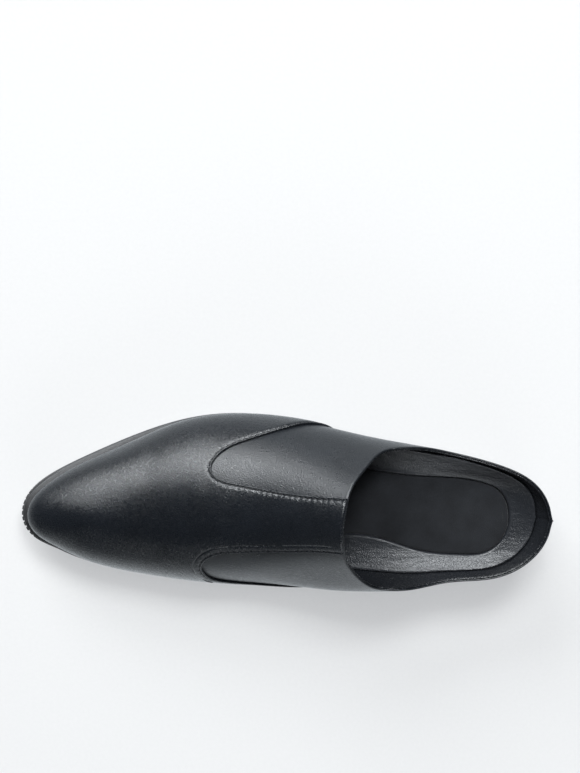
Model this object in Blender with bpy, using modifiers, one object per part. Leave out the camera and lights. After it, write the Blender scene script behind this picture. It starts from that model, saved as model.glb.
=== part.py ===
"""A right-foot backless loafer (mule): a hollow leather upper on a welt, an outsole and a low heel.

Metres, +Z up. The toe points along +X and the inner (medial) side of the foot is +Y.
The origin is on the floor, in the middle of the shoe's length and width.
Every piece is worked out from one last: its outline in plan, its feather line (where the
upper meets the sole), the height of its ridge and the fullness of its sections.
"""

import math

import bmesh
import bpy
import numpy as np
from mathutils import Matrix

# Overall sizes
LENGTH = 0.296            # heel back to the tip of the sole
BALL_WIDTH = 0.0935       # the last across the ball, at the feather line
INSTEP_HEIGHT = 0.066     # feather line to the ridge of the upper, at the throat
HEEL_HEIGHT = 0.022       # floor to the underside of the outsole, at the heel
TOE_SPRING = 0.013        # floor to the underside of the outsole, at the tip
RIM_HEIGHT = 0.0165       # how far the low back of the collar stands over the feather line

# Thicknesses and clearances
GAP = 0.0003              # left between pieces that touch
OUTSOLE_THICKNESS = 0.0050
WELT_THICKNESS = 0.0030
UPPER_WALL = 0.0020       # outer leather and lining together
VAMP_THICKNESS = 0.0013   # the leather laid over the front of the upper
INSOLE_THICKNESS = 0.0036
SOCK_THICKNESS = 0.0016
TOP_PIECE_THICKNESS = 0.0060

# Where the sole stands out from the upper
WELT_MARGIN = 0.0034      # at the tip of the toe
HEEL_INSET = 0.0037       # the last's heel seat starts this far inside the back of the collar
WELT_STRIP_WIDTH = 0.0080 # how far the welt reaches in under the upper
EDGE_STEP = 0.0005        # the outsole's side steps in above and below its widest band
HEEL_TAPER = 0.0018       # the heel block narrows by this much down to the floor

# Where things lie along the sole, as shares of its length from the heel
BREAST = 0.245            # the front of the heel block
TREAD_START = 0.585       # the flat of the forefoot
TREAD_END = 0.735
BREAST_HOLLOW = 0.0035    # how far the front of the heel block curves in
TOE_SPRING_CURVE = 1.8

# The ribs cut into the toe's edge
TOE_RIB_PITCH = 0.0026
TOE_RIB_WIDTH = 0.0012
TOE_RIB_DEPTH = 0.0007
TOE_RIB_COUNT = 9

# The last. Widths are shares of BALL_WIDTH, heights shares of INSTEP_HEIGHT, and
# stations shares of the last's length from the heel.
AXIS_OFFSET = 0.083       # share of BALL_WIDTH from the heel-to-toe line to mid-width

LAST_OUTLINE = [
    # station, lateral, medial
    (0.035, 0.204, 0.215),
    (0.100, 0.288, 0.313),
    (0.190, 0.349, 0.332),
    (0.280, 0.392, 0.352),
    (0.380, 0.450, 0.341),
    (0.480, 0.538, 0.370),
    (0.580, 0.571, 0.400),
    (0.680, 0.539, 0.399),
    (0.780, 0.443, 0.356),
    (0.870, 0.326, 0.288),
    (0.940, 0.221, 0.196),
    (0.982, 0.127, 0.120),
]

SOCK_OUTLINE = [
    # station of the sock, lateral, medial
    (0.020, 0.155, 0.150),
    (0.060, 0.209, 0.214),
    (0.120, 0.236, 0.218),
    (0.200, 0.247, 0.190),
    (0.280, 0.272, 0.125),
    (0.340, 0.300, 0.108),
    (0.420, 0.342, 0.145),
    (0.540, 0.425, 0.250),
    (0.660, 0.450, 0.310),
    (0.780, 0.370, 0.275),
    (0.880, 0.262, 0.200),
    (0.960, 0.145, 0.120),
]
SOCK_BACK_INSET = 0.0192  # from the last's heel to the sock's end
SOCK_TOE_INSET = 0.0140

LAST_SECTIONS = [
    # station, ridge height, ridge offset, lateral and medial fullness, lateral and medial lean
    (0.00, 1.300, 0.000, 2.00, 2.00, 0.80, 0.50),
    (0.15, 1.260, 0.000, 2.00, 2.00, 1.16, 0.72),
    (0.30, 1.130, -0.030, 2.05, 2.05, 1.32, 1.18),
    (0.39, 1.000, -0.040, 2.05, 2.10, 1.22, 1.56),
    (0.50, 0.860, -0.040, 2.10, 2.15, 0.64, 0.86),
    (0.60, 0.745, -0.035, 2.20, 2.20, 0.50, 0.28),
    (0.70, 0.640, -0.030, 2.30, 2.25, 0.40, 0.02),
    (0.80, 0.545, -0.020, 2.35, 2.30, 0.04, 0.02),
    (0.90, 0.445, -0.010, 2.35, 2.35, 0.04, 0.02),
    (1.00, 0.330, 0.000, 2.35, 2.35, 0.04, 0.04),
]
LEAN = 0.0060             # how far the wall leans out over the feather line, at a share of 1

SOLE_MARGINS = [
    # station, share of WELT_MARGIN
    (0.00, 0.60),
    (0.20, 0.45),
    (0.42, 0.25),
    (0.62, 0.62),
    (0.85, 0.88),
    (1.00, 1.00),
]

# The collar, from the middle of the back to the throat: the station, and how much of the
# way round the section it lies, from the feather line (0) to the ridge (1).
COLLAR_BACK = [(0.000, 1.000), (0.060, 0.980), (0.130, 0.920), (0.195, 0.950)]
COLLAR_RISE = [
    # station, lateral rise, medial rise
    (0.245, 0.175, 0.165),
    (0.287, 0.252, 0.225),
    (0.317, 0.343, 0.285),
    (0.347, 0.470, 0.365),
    (0.369, 0.640, 0.512),
    (0.381, 0.732, 0.618),
    (0.387, 0.840, 0.775),
    (0.390, 1.000, 1.000),
]

# The tongue-shaped side panels that the vamp leaves bare, as (station, rise) from the
# collar end of the lower edge, round the nose, to the collar end of the upper edge.
# Below 0 the rise runs on under the feather line.
LATERAL_PANEL = [
    (0.320, -0.120), (0.374, -0.010), (0.420, 0.100), (0.458, 0.178), (0.489, 0.258),
    (0.523, 0.336), (0.564, 0.417), (0.593, 0.466), (0.623, 0.532), (0.642, 0.599),
    (0.652, 0.668), (0.649, 0.722), (0.634, 0.759), (0.602, 0.784), (0.542, 0.806),
    (0.485, 0.814), (0.431, 0.799), (0.388, 0.770), (0.300, 0.720),
]
MEDIAL_PANEL = [
    (0.320, -0.120), (0.376, -0.010), (0.430, 0.075), (0.480, 0.122), (0.526, 0.155),
    (0.570, 0.182), (0.606, 0.218), (0.636, 0.282), (0.658, 0.414), (0.668, 0.534),
    (0.660, 0.643), (0.638, 0.696), (0.599, 0.716), (0.541, 0.723), (0.485, 0.727),
    (0.431, 0.736), (0.388, 0.731), (0.300, 0.700),
]

# The fan of ribs that closes the toe and the heel, as stations
TOE_FAN_START, TOE_FAN_END = 0.40, 0.81
HEEL_FAN_START, HEEL_FAN_END = 0.30, 0.11

# How finely the pieces are faceted
RING_POINTS = 96
THROAT_COLUMN = 24        # the column of the upper, out of 48 a side, that ends at the throat
UPPER_ROWS = 10
ROW_EASE = 1.3            # above 1, the rows lie closer together near the feather line
VAMP_FIRST_COLUMN = 19    # the vamp's shell starts here, behind the panels' lower edges
PANEL_COLUMNS = 24
PANEL_ROWS = 18
PANEL_CUT_DEPTH = 0.0032  # the cutters reach this far under the skin
BACK_SEAM_STAND = 0.0007  # the point where the two sides meet at the back
BACK_SEAM_REACH = 0.0080


# Curves

def smooth_curve(knots, values, period=None):
    """A cubic spline through the values at the knots, closed on itself over a period."""
    knots, values = np.array(knots, float), np.array(values, float)
    if period:
        knots, values = np.append(knots, knots[0] + period), np.append(values, values[0])
    step = np.diff(knots)
    slope = np.diff(values) / step
    count = len(knots)
    system, target = np.zeros((count, count)), np.zeros(count)
    for i in range(1, count - 1):
        system[i, i - 1:i + 2] = step[i - 1], 2 * (step[i - 1] + step[i]), step[i]
        target[i] = 6 * (slope[i] - slope[i - 1])
    system[0, 0] = system[-1, -1] = 1
    if period:
        system[0, -1] = -1
        system[-1, :2] = 2 * step[0], step[0]
        system[-1, -2:] = step[-1], 2 * step[-1]
        target[-1] = 6 * (slope[0] - slope[-1])
    bend = np.linalg.solve(system, target)

    def value(at):
        if period:
            at = (at - knots[0]) % period + knots[0]
        i = int(min(max(np.searchsorted(knots, at) - 1, 0), count - 2))
        a, b = knots[i + 1] - at, at - knots[i]
        cubic = (bend[i] * a ** 3 + bend[i + 1] * b ** 3) / (6 * step[i])
        left = values[i] / step[i] - bend[i] * step[i] / 6
        right = values[i + 1] / step[i] - bend[i + 1] * step[i] / 6
        return cubic + left * a + right * b

    return value


def column(rows, index):
    return [row[index] for row in rows]


def along(rows, index):
    """One column of a table as a curve over its stations."""
    return smooth_curve(column(rows, 0), column(rows, index))


def angle_of(station):
    """The angle round the outline, 0 at the heel and pi at the toe, of a station."""
    return math.acos(1 - 2 * station)


def closed_outline(rows):
    """The sideways place round a closed outline, lateral negative, over 0 to 2 pi."""
    angles = [angle_of(station) for station in column(rows, 0)]
    knots = [0.0, *angles, math.pi, *[2 * math.pi - a for a in reversed(angles)]]
    lateral = [-share for share in column(rows, 1)]
    values = [0.0, *lateral, 0.0, *reversed(column(rows, 2))]
    return smooth_curve(knots, values, period=2 * math.pi)


# The last

LAST_LENGTH = LENGTH - HEEL_INSET - WELT_MARGIN
LAST_BACK = -LENGTH / 2 + HEEL_INSET
AXIS_Y = AXIS_OFFSET * BALL_WIDTH
last_side = closed_outline(LAST_OUTLINE)
sock_side = closed_outline(SOCK_OUTLINE)
ridge_share = along(LAST_SECTIONS, 1)
ridge_offset = along(LAST_SECTIONS, 2)
lateral_fullness = along(LAST_SECTIONS, 3)
medial_fullness = along(LAST_SECTIONS, 4)
lateral_lean = along(LAST_SECTIONS, 5)
medial_lean = along(LAST_SECTIONS, 6)
margin_share = along(SOLE_MARGINS, 1)


def station_at(angle):
    return (1 - math.cos(angle)) / 2


def station_of_x(x):
    return min(max((x - LAST_BACK) / LAST_LENGTH, 0.0), 1.0)


def outline_point(angle):
    x = LAST_BACK + LAST_LENGTH * station_at(angle)
    return np.array([x, AXIS_Y + BALL_WIDTH * last_side(angle)])


def outward(angle):
    """The outline's outward direction in plan."""
    step = 1e-3
    along_edge = outline_point(angle + step) - outline_point(angle - step)
    normal = np.array([along_edge[1], -along_edge[0]])
    return normal / np.linalg.norm(normal)


def offset_outline(angle, distance):
    return outline_point(angle) + outward(angle) * distance


def sole_margin(angle):
    return WELT_MARGIN * margin_share(station_at(angle))


def smooth_step(t):
    return t * t * (3 - 2 * t)


def tread_height(x):
    """The underside of the outsole: level heel seat, shank, flat forefoot, toe spring."""
    share = x / LENGTH + 0.5
    if share <= BREAST:
        return HEEL_HEIGHT
    if share < TREAD_START:
        return HEEL_HEIGHT * (1 - smooth_step((share - BREAST) / (TREAD_START - BREAST)))
    if share <= TREAD_END:
        return 0.0
    return TOE_SPRING * ((share - TREAD_END) / (1 - TREAD_END)) ** TOE_SPRING_CURVE


def outsole_top(x):
    return tread_height(x) + OUTSOLE_THICKNESS


def welt_top(x):
    return outsole_top(x) + GAP + WELT_THICKNESS


def feather_height(x):
    return welt_top(x) + GAP


def spine_station(station):
    """Where on the ridge the rib from this station ends: the ribs fan at toe and heel."""
    if station > TOE_FAN_START:
        reach = TOE_FAN_END - TOE_FAN_START
        t = (station - TOE_FAN_START) / (1 - TOE_FAN_START)
        lead = (1 - TOE_FAN_START) / reach
        return TOE_FAN_START + reach * (lead * t + (1 - lead) * t ** 2)
    if station < HEEL_FAN_START:
        reach = HEEL_FAN_START - HEEL_FAN_END
        t = (HEEL_FAN_START - station) / HEEL_FAN_START
        lead = HEEL_FAN_START / reach
        return HEEL_FAN_START - reach * (lead * t + (1 - lead) * t ** 2)
    return station


def between_sides(lateral, medial, station, angle):
    """A section's value at an angle, eased from the lateral side's to the medial side's."""
    blend = smooth_step(0.5 - 0.5 * math.sin(angle))
    return (1 - blend) * lateral(station) + blend * medial(station)


def fullness(station, angle):
    return between_sides(lateral_fullness, medial_fullness, station, angle)


def last_point(angle, rise):
    """A point of the last's skin: round the outline by angle, up to the ridge by rise."""
    station = station_at(angle)
    spine = spine_station(station)
    ridge = np.array([
        LAST_BACK + LAST_LENGTH * spine,
        AXIS_Y + BALL_WIDTH * ridge_offset(spine),
    ])
    foot = outline_point(angle)
    turn = rise * math.pi / 2
    power = 2 / fullness(station, angle)
    inward = 1 - max(math.cos(turn), 0.0) ** power
    up = math.sin(turn) ** power
    lean = LEAN * between_sides(lateral_lean, medial_lean, station, angle)
    lean *= up ** 1.3 * (1 - up) ** 3.5 / 0.0606
    seam = abs(math.sin(angle)) * LAST_LENGTH / 2 / BACK_SEAM_REACH
    if station < 0.1:
        lean += BACK_SEAM_STAND * max(0.0, 1 - seam) * min(1.0, 8 * up)
    place = foot + (ridge - foot) * inward + outward(angle) * lean
    height = INSTEP_HEIGHT * ridge_share(station_of_x(place[0]))
    return np.array([*place, feather_height(place[0]) + height * up])


def rise_at_height(angle, height):
    """The rise at which the skin stands this far over the feather line."""
    station = station_at(angle)
    up = min(height / (INSTEP_HEIGHT * ridge_share(station)), 1.0)
    return math.asin(up ** (fullness(station, angle) / 2)) * 2 / math.pi


# The collar and the side panels, as (angle, rise) on the last

def collar_rows(side):
    """The collar's line on one side, 1 for lateral and 2 for medial."""
    back = [
        (angle_of(station), rise_at_height(angle_of(station), RIM_HEIGHT * share))
        for station, share in COLLAR_BACK
    ]
    return back + [(angle_of(row[0]), row[side]) for row in COLLAR_RISE]


def spread(rows):
    """Rows of (angle, rise) as two curves over 0 to 1, evenly spread along their length."""
    points = np.array([skin_point(*row) for row in rows])
    lengths = np.linalg.norm(np.diff(points, axis=0), axis=1)
    knots = np.concatenate([[0], np.cumsum(lengths)]) / lengths.sum()
    return smooth_curve(knots, column(rows, 0)), smooth_curve(knots, column(rows, 1))


def skin_point(angle, rise):
    """The last's skin, carried straight down where the rise is below the feather line."""
    place = last_point(angle, max(rise, 0.0))
    place[2] += min(rise, 0.0) * INSTEP_HEIGHT
    return place


collar_lines = [spread(collar_rows(1)), spread(collar_rows(2))]
SIDE_COLUMNS = RING_POINTS // 2
THROAT_ANGLE = angle_of(COLLAR_RISE[-1][0])


def rib(share, medial):
    """The foot and the end of one rib of a side, share 0 at the heel and 1 at the toe."""
    throat = THROAT_COLUMN / SIDE_COLUMNS
    if share <= throat:
        collar_angle, collar_rise = collar_lines[medial]
        return share * math.pi, collar_angle(share / throat), collar_rise(share / throat)
    end = THROAT_ANGLE + (math.pi - THROAT_ANGLE) * (share - throat) / (1 - throat)
    return share * math.pi, end, 1.0


def upper_point(across, up):
    """A point of the upper. across runs 0 to 2, round the lateral side, toe and medial side."""
    medial = across > 1
    foot, end, rise = rib(2 - across if medial else across, medial)
    angle = foot + (end - foot) * up
    return last_point(2 * math.pi - angle if medial else angle, rise * up)


def facing(surface, a, b):
    """Which way a surface of the last faces, a running round it and b up it."""
    step = 1e-3
    round_it = surface(a + step, b) - surface(a - step, b)
    up_it = surface(a, b + step) - surface(a, b)
    normal = np.cross(round_it, up_it)
    return normal / np.linalg.norm(normal)


# Building meshes

def clear_scene():
    for thing in list(bpy.data.objects):
        bpy.data.objects.remove(thing)


def make_collection(name):
    collection = bpy.data.collections.new(name)
    bpy.context.scene.collection.children.link(collection)
    return collection


def make_material(name, colour, roughness, metallic=0.0):
    material = bpy.data.materials.new(name)
    material.use_nodes = True
    shader = material.node_tree.nodes["Principled BSDF"]
    shader.inputs["Base Color"].default_value = (*colour, 1)
    shader.inputs["Roughness"].default_value = roughness
    shader.inputs["Metallic"].default_value = metallic
    return material


def make_object(name, mesh_data, collection, material=None):
    mesh = bpy.data.meshes.new(name)
    mesh_data.to_mesh(mesh)
    mesh_data.free()
    mesh.shade_smooth()
    mesh.set_sharp_from_angle(angle=math.radians(35))
    thing = bpy.data.objects.new(name, mesh)
    if material:
        mesh.materials.append(material)
    collection.objects.link(thing)
    return thing


def mapped_grid(columns, rows, place):
    """An open skin: a flat grid whose points go to place(across, up), both 0 to 1."""
    skin = bmesh.new()
    bmesh.ops.create_grid(skin, x_segments=columns, y_segments=rows, size=1)
    for vert in skin.verts:
        vert.co = place((vert.co.x + 1) / 2, (vert.co.y + 1) / 2)
    bmesh.ops.remove_doubles(skin, verts=skin.verts, dist=1e-6)
    bmesh.ops.recalc_face_normals(skin, faces=skin.faces)
    bmesh.ops.triangulate(skin, faces=skin.faces, quad_method="FIXED")
    return skin


def face_out(skin):
    """Turns an open skin so that its highest face looks up."""
    top = max(skin.faces, key=lambda face: face.calc_center_median().z)
    if top.normal.z < 0:
        bmesh.ops.reverse_faces(skin, faces=skin.faces)
    skin.normal_update()


def lift(skin, distance):
    """Moves every point of a skin out along its normal."""
    places = [vert.co + vert.normal * distance for vert in skin.verts]
    for vert, place in zip(skin.verts, places):
        vert.co = place


def add_wall(thing, thickness, offset):
    """Gives an open skin a wall: offset -1 puts it inside the skin, 1 outside."""
    wall = thing.modifiers.new("wall", "SOLIDIFY")
    wall.thickness = thickness
    wall.offset = offset
    wall.use_rim = True
    return wall


def ring_angles():
    return [2 * math.pi * i / RING_POINTS for i in range(RING_POINTS)]


def ring(offset, height):
    """Points round the last at an outward offset, each at the height of its own place."""
    points = []
    for angle in ring_angles():
        x, y = offset_outline(angle, offset(angle) if callable(offset) else offset)
        points.append((x, y, height(x)))
    return points


def lofted(rings, looped=False):
    """A solid through rings of equal count, closed by ladder caps or, if looped, on itself."""
    solid = bmesh.new()
    rows = [[solid.verts.new(point) for point in points] for points in rings]
    count = len(rows[0])
    pairs = list(zip(rows, rows[1:]))
    if looped:
        pairs.append((rows[-1], rows[0]))
    for low, high in pairs:
        for i in range(count):
            j = (i + 1) % count
            solid.faces.new([low[i], low[j], high[j], high[i]])
    if not looped:
        for row in (rows[0], rows[-1]):
            half = count // 2
            solid.faces.new([row[0], row[1], row[-1]])
            for i in range(1, half - 1):
                solid.faces.new([row[i], row[i + 1], row[-i - 1], row[-i]])
            solid.faces.new([row[half - 1], row[half], row[half + 1]])
    bmesh.ops.recalc_face_normals(solid, faces=solid.faces)
    return solid


def capped(rings):
    """A solid through rings of equal count, with a flat face at each end."""
    solid = bmesh.new()
    rows = [[solid.verts.new(point) for point in points] for points in rings]
    count = len(rows[0])
    for low, high in zip(rows, rows[1:]):
        for i in range(count):
            j = (i + 1) % count
            solid.faces.new([low[i], low[j], high[j], high[i]])
    solid.faces.new(rows[0])
    solid.faces.new(rows[-1])
    bmesh.ops.recalc_face_normals(solid, faces=solid.faces)
    return solid


# The pieces

def build_outsole(collection, material, tools):
    """Forefoot, shank and heel seat in one, with a stepped edge and ribs cut at the toe."""
    shares = [(2 * EDGE_STEP, 0.0), (0.0, 0.22), (0.0, 0.62), (EDGE_STEP, 0.70), (EDGE_STEP, 1.0)]
    rings = []
    for inset, share in shares:
        rings.append(ring(
            lambda angle, inset=inset: sole_margin(angle) - inset,
            lambda x, share=share: tread_height(x) + OUTSOLE_THICKNESS * share,
        ))
    outsole = make_object("outsole", lofted(rings), collection, material)
    cut = outsole.modifiers.new("toe ribs", "BOOLEAN")
    cut.operation = "DIFFERENCE"
    cut.object = build_toe_rib_cutter(tools)
    return outsole


def build_toe_rib_cutter(tools):
    """Upright bars that cut grooves into the sole's edge, evenly spaced round the tip."""
    bars = bmesh.new()
    reach = np.linalg.norm(outline_point(math.pi + 1e-3) - outline_point(math.pi)) / 1e-3
    for i in range(TOE_RIB_COUNT):
        angle = math.pi + (i - (TOE_RIB_COUNT - 1) / 2) * TOE_RIB_PITCH / reach
        x, y = offset_outline(angle, sole_margin(angle))
        size = (2 * TOE_RIB_DEPTH, TOE_RIB_WIDTH, OUTSOLE_THICKNESS * 0.6)
        turn = Matrix.Rotation(math.atan2(*reversed(outward(angle))), 4, "Z")
        place = Matrix.Translation((x, y, tread_height(x) + OUTSOLE_THICKNESS * 0.42))
        bmesh.ops.create_cube(bars, size=1, matrix=place @ turn @ Matrix.Diagonal((*size, 1)))
    cutter = make_object("toe_rib_cutter", bars, tools)
    cutter.hide_render = True
    cutter.display_type = "WIRE"
    return cutter


def build_welt(collection, material):
    """A strip all round, under the upper's edge and standing proud of it."""

    def band(offset, share):
        return ring(offset, lambda x: outsole_top(x) + GAP + WELT_THICKNESS * share)

    def edge(inset, share):
        return band(lambda angle: sole_margin(angle) - inset, share)

    rings = [
        edge(EDGE_STEP, 0.0), edge(EDGE_STEP / 2, 0.35), edge(EDGE_STEP / 2, 0.70),
        edge(EDGE_STEP * 1.5, 1.0), band(-WELT_STRIP_WIDTH, 1.0), band(-WELT_STRIP_WIDTH, 0.0),
    ]
    return make_object("welt", lofted(rings, looped=True), collection, material)


def heel_ring(inset, height):
    """The plan of the heel at an inset: round the back, then the hollow breast."""
    breast_x = LENGTH * (BREAST - 0.5) - 2 * GAP
    corner = angle_of(station_of_x(breast_x))
    turns = np.linspace(corner, -corner, 33)
    points = []
    for turn in turns:
        angle = turn % (2 * math.pi)
        x, y = offset_outline(angle, sole_margin(angle) - inset)
        points.append((min(x, breast_x), y, height))
    first, last = points[0], points[-1]
    for t in np.linspace(0, 1, 10)[1:-1]:
        x = breast_x - BREAST_HOLLOW * math.sin(math.pi * t)
        points.append((x, last[1] + (first[1] - last[1]) * t, height))
    return points


def build_heel(collection, block_material, top_material):
    """A stacked block under the heel seat, and the rubber top piece that it stands on."""
    top = HEEL_HEIGHT - GAP
    joint = TOP_PIECE_THICKNESS + GAP
    middle = (top + joint) / 2
    block = capped([
        heel_ring(EDGE_STEP, top),
        heel_ring(EDGE_STEP + HEEL_TAPER * 0.55, middle),
        heel_ring(EDGE_STEP + HEEL_TAPER * 0.9, joint),
    ])
    piece = capped([
        heel_ring(EDGE_STEP + HEEL_TAPER * 0.8, TOP_PIECE_THICKNESS),
        heel_ring(EDGE_STEP + HEEL_TAPER, EDGE_STEP),
        heel_ring(2 * EDGE_STEP + HEEL_TAPER, 0.0),
    ])
    make_object("heel_block", block, collection, block_material)
    make_object("heel_top_piece", piece, collection, top_material)


def sock_point(angle, grow, height):
    """The sock's outline, grown by a distance, at a height over the feather line."""
    back = LAST_BACK + SOCK_BACK_INSET
    reach = LAST_LENGTH - SOCK_BACK_INSET - SOCK_TOE_INSET
    step = 1e-3

    def place(at):
        x = back + reach * station_at(at)
        return np.array([x, AXIS_Y + BALL_WIDTH * sock_side(at)])

    edge = place(angle + step) - place(angle - step)
    normal = np.array([edge[1], -edge[0]]) / np.linalg.norm(edge)
    x, y = place(angle) + normal * grow
    return (x, y, feather_height(x) + height)


def wall_inside(angle, height, depth):
    """A point this deep inside the upper's skin, at a height over the feather line.

    It lies on the straight line between two rows of the upper's own points.
    """
    across = angle / math.pi
    low = high = None
    for row in range(UPPER_ROWS + 1):
        up = (row / UPPER_ROWS) ** ROW_EASE
        low, high = high, upper_point(across, up) - facing(upper_point, across, up) * depth
        if row and high[2] > feather_height(high[0]) + height:
            break
    share = (feather_height(low[0]) + height - low[2]) / (high[2] - low[2])
    return tuple(low + (high - low) * share)


def build_insole(collection, material):
    """The footbed: it fills the welt's ring, rises to a soft border and holds the sock."""
    fit = WELT_STRIP_WIDTH + GAP
    wall = UPPER_WALL + GAP
    cup = INSOLE_THICKNESS * 0.72
    rings = [
        ring(-fit, lambda x: outsole_top(x) + GAP),
        ring(-fit, feather_height),
        ring(-(wall + GAP), feather_height),
        [wall_inside(a, INSOLE_THICKNESS * 0.9, wall) for a in ring_angles()],
        [wall_inside(a, INSOLE_THICKNESS * 1.15, wall + 0.0025) for a in ring_angles()],
        [sock_point(a, 0.0035, INSOLE_THICKNESS) for a in ring_angles()],
        [sock_point(a, GAP, cup) for a in ring_angles()],
        [sock_point(a, GAP, cup - SOCK_THICKNESS * 0.6) for a in ring_angles()],
    ]
    return make_object("insole", lofted(rings), collection, material)


def build_sock(collection, material):
    """The soft pad that lines the middle of the footbed, let into it."""
    floor = INSOLE_THICKNESS * 0.72 - SOCK_THICKNESS * 0.6 + GAP
    rings = [
        [sock_point(a, 0.0, floor) for a in ring_angles()],
        [sock_point(a, 0.0, floor + SOCK_THICKNESS * 0.6) for a in ring_angles()],
        [sock_point(a, -0.0012, floor + SOCK_THICKNESS) for a in ring_angles()],
    ]
    return make_object("sock", lofted(rings), collection, material)


def upper_skin(place, first_column=0):
    """A skin over place(across, up), from a column of the lateral side to the medial one."""
    start = first_column / SIDE_COLUMNS
    skin = mapped_grid(
        2 * (SIDE_COLUMNS - first_column),
        UPPER_ROWS,
        lambda s, t: place(start + s * 2 * (1 - start), t ** ROW_EASE),
    )
    face_out(skin)
    return skin


def build_upper(collection, material):
    """Quarters, lining and front in one hollow shell, open at the collar and underneath."""
    upper = make_object("upper", upper_skin(upper_point), collection, material)
    add_wall(upper, UPPER_WALL, -1)
    return upper


def panel_cutter(name, rows, medial, tools):
    """A thick patch over one bare side panel, grown both ways from the last itself."""
    nose = max(range(len(rows)), key=lambda i: rows[i][0])
    lower = [(angle_of(s), r) for s, r in rows[:nose + 1]]
    upper = [(angle_of(s), r) for s, r in reversed(rows[nose:])]
    (low_angle, low_rise), (high_angle, high_rise) = spread(lower), spread(upper)

    def place(s, t, raised):
        ease = 1 - (1 - s) ** 1.5
        angle = (1 - t) * low_angle(ease) + t * high_angle(ease)
        rise = (1 - t) * low_rise(ease) + t * high_rise(ease)
        if medial:
            angle = 2 * math.pi - angle
        out = facing(last_point, angle, max(rise, 0.0))
        return skin_point(angle, rise) + out * PANEL_CUT_DEPTH * (1.5 if raised else -1)

    solid = bmesh.new()
    bmesh.ops.create_grid(solid, x_segments=PANEL_COLUMNS, y_segments=PANEL_ROWS, size=1)
    made = bmesh.ops.extrude_face_region(solid, geom=solid.faces[:])
    raised = {item for item in made["geom"] if isinstance(item, bmesh.types.BMVert)}
    for vert in solid.verts:
        vert.co = place((vert.co.x + 1) / 2, (vert.co.y + 1) / 2, vert in raised)
    bmesh.ops.remove_doubles(solid, verts=solid.verts, dist=1e-6)
    bmesh.ops.recalc_face_normals(solid, faces=solid.faces)
    cutter = make_object(name, solid, tools)
    cutter.hide_render = True
    cutter.display_type = "WIRE"
    return cutter


def vamp_point(across, up):
    """A point under the vamp. Its lower edge is raised so that its thickness clears the welt."""
    if up > 0:
        return upper_point(across, up)
    first_row = (1 / UPPER_ROWS) ** ROW_EASE
    chord = upper_point(across, first_row) - upper_point(across, 0)
    out = np.cross(upper_point(across + 1e-3, 0) - upper_point(across - 1e-3, 0), chord)
    dip = max(0.0, -out[2] / np.linalg.norm(out)) * (VAMP_THICKNESS + GAP)
    return wall_inside(across * math.pi, 1.1 * dip + GAP, 0.0)


def build_vamp(collection, material, tools):
    """The overlay: the toe and the strip up the instep, cut away round the side panels."""
    skin = upper_skin(vamp_point, VAMP_FIRST_COLUMN)
    lift(skin, GAP)
    vamp = make_object("vamp", skin, collection, material)
    add_wall(vamp, VAMP_THICKNESS, 1)
    for name, rows, medial in (
        ("lateral_panel_cutter", LATERAL_PANEL, False),
        ("medial_panel_cutter", MEDIAL_PANEL, True),
    ):
        cut = vamp.modifiers.new(name, "BOOLEAN")
        cut.operation = "DIFFERENCE"
        cut.object = panel_cutter(name, rows, medial, tools)
    return vamp


def main():
    clear_scene()
    shoe = make_collection("backless_loafer")
    tools = make_collection("cutters")
    leather = make_material("black_leather", (0.020, 0.021, 0.024), 0.38)
    panel_leather = make_material("black_leather_panels", (0.022, 0.023, 0.026), 0.42)
    lining = make_material("footbed_leather", (0.030, 0.031, 0.034), 0.45)
    sock_cloth = make_material("sock_lining", (0.016, 0.016, 0.018), 0.85)
    edge = make_material("welt_edge", (0.018, 0.018, 0.019), 0.50)
    rubber = make_material("sole_rubber", (0.020, 0.020, 0.021), 0.70)
    build_outsole(shoe, rubber, tools)
    build_welt(shoe, edge)
    build_heel(shoe, edge, rubber)
    build_insole(shoe, lining)
    build_sock(shoe, sock_cloth)
    build_upper(shoe, panel_leather)
    build_vamp(shoe, leather, tools)


main()
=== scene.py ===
# %% [markdown]
# # A backless loafer in black calf
# A backless loafer is a slip-on shoe with a closed front and only a low rim round the heel.
# This lesson dresses the plain solids of such a shoe, a right one, in finished leather:
# side quarters, a vamp stitched over them, a glossy lining, a cupped footbed with a suede
# sock, a welt, an outsole and a stacked heel.

import math

import bmesh
import bpy
import numpy as np
from mathutils import Matrix, Vector


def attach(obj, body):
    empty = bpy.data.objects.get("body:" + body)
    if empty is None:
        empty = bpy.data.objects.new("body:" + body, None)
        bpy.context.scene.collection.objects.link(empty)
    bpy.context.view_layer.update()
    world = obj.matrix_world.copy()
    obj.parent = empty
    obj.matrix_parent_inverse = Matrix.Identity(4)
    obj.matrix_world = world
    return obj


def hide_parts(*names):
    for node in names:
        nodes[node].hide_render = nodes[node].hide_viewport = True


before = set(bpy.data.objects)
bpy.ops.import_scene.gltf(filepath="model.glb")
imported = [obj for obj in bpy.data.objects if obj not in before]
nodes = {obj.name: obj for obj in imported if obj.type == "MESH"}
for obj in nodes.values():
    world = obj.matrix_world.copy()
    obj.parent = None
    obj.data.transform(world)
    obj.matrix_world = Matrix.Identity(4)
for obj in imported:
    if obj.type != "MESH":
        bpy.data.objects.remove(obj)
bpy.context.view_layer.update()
print("plain solids:", ", ".join(sorted(nodes)))

# %% [markdown]
# ## The camera
# The picture was taken from about a metre straight above, a little towards the outer side.
# A long lens at that distance keeps the toe and the heel in proportion. The camera is set
# by the place where it stands and the point that it looks at.

# %% Camera
LENS = 82.4
SENSOR_WIDTH = 36
CAMERA_PLACE = Vector((0.0, -0.1472, 1.0085))
CAMERA_TARGET = Vector((-0.00355, -0.06505, 0.030))

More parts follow.
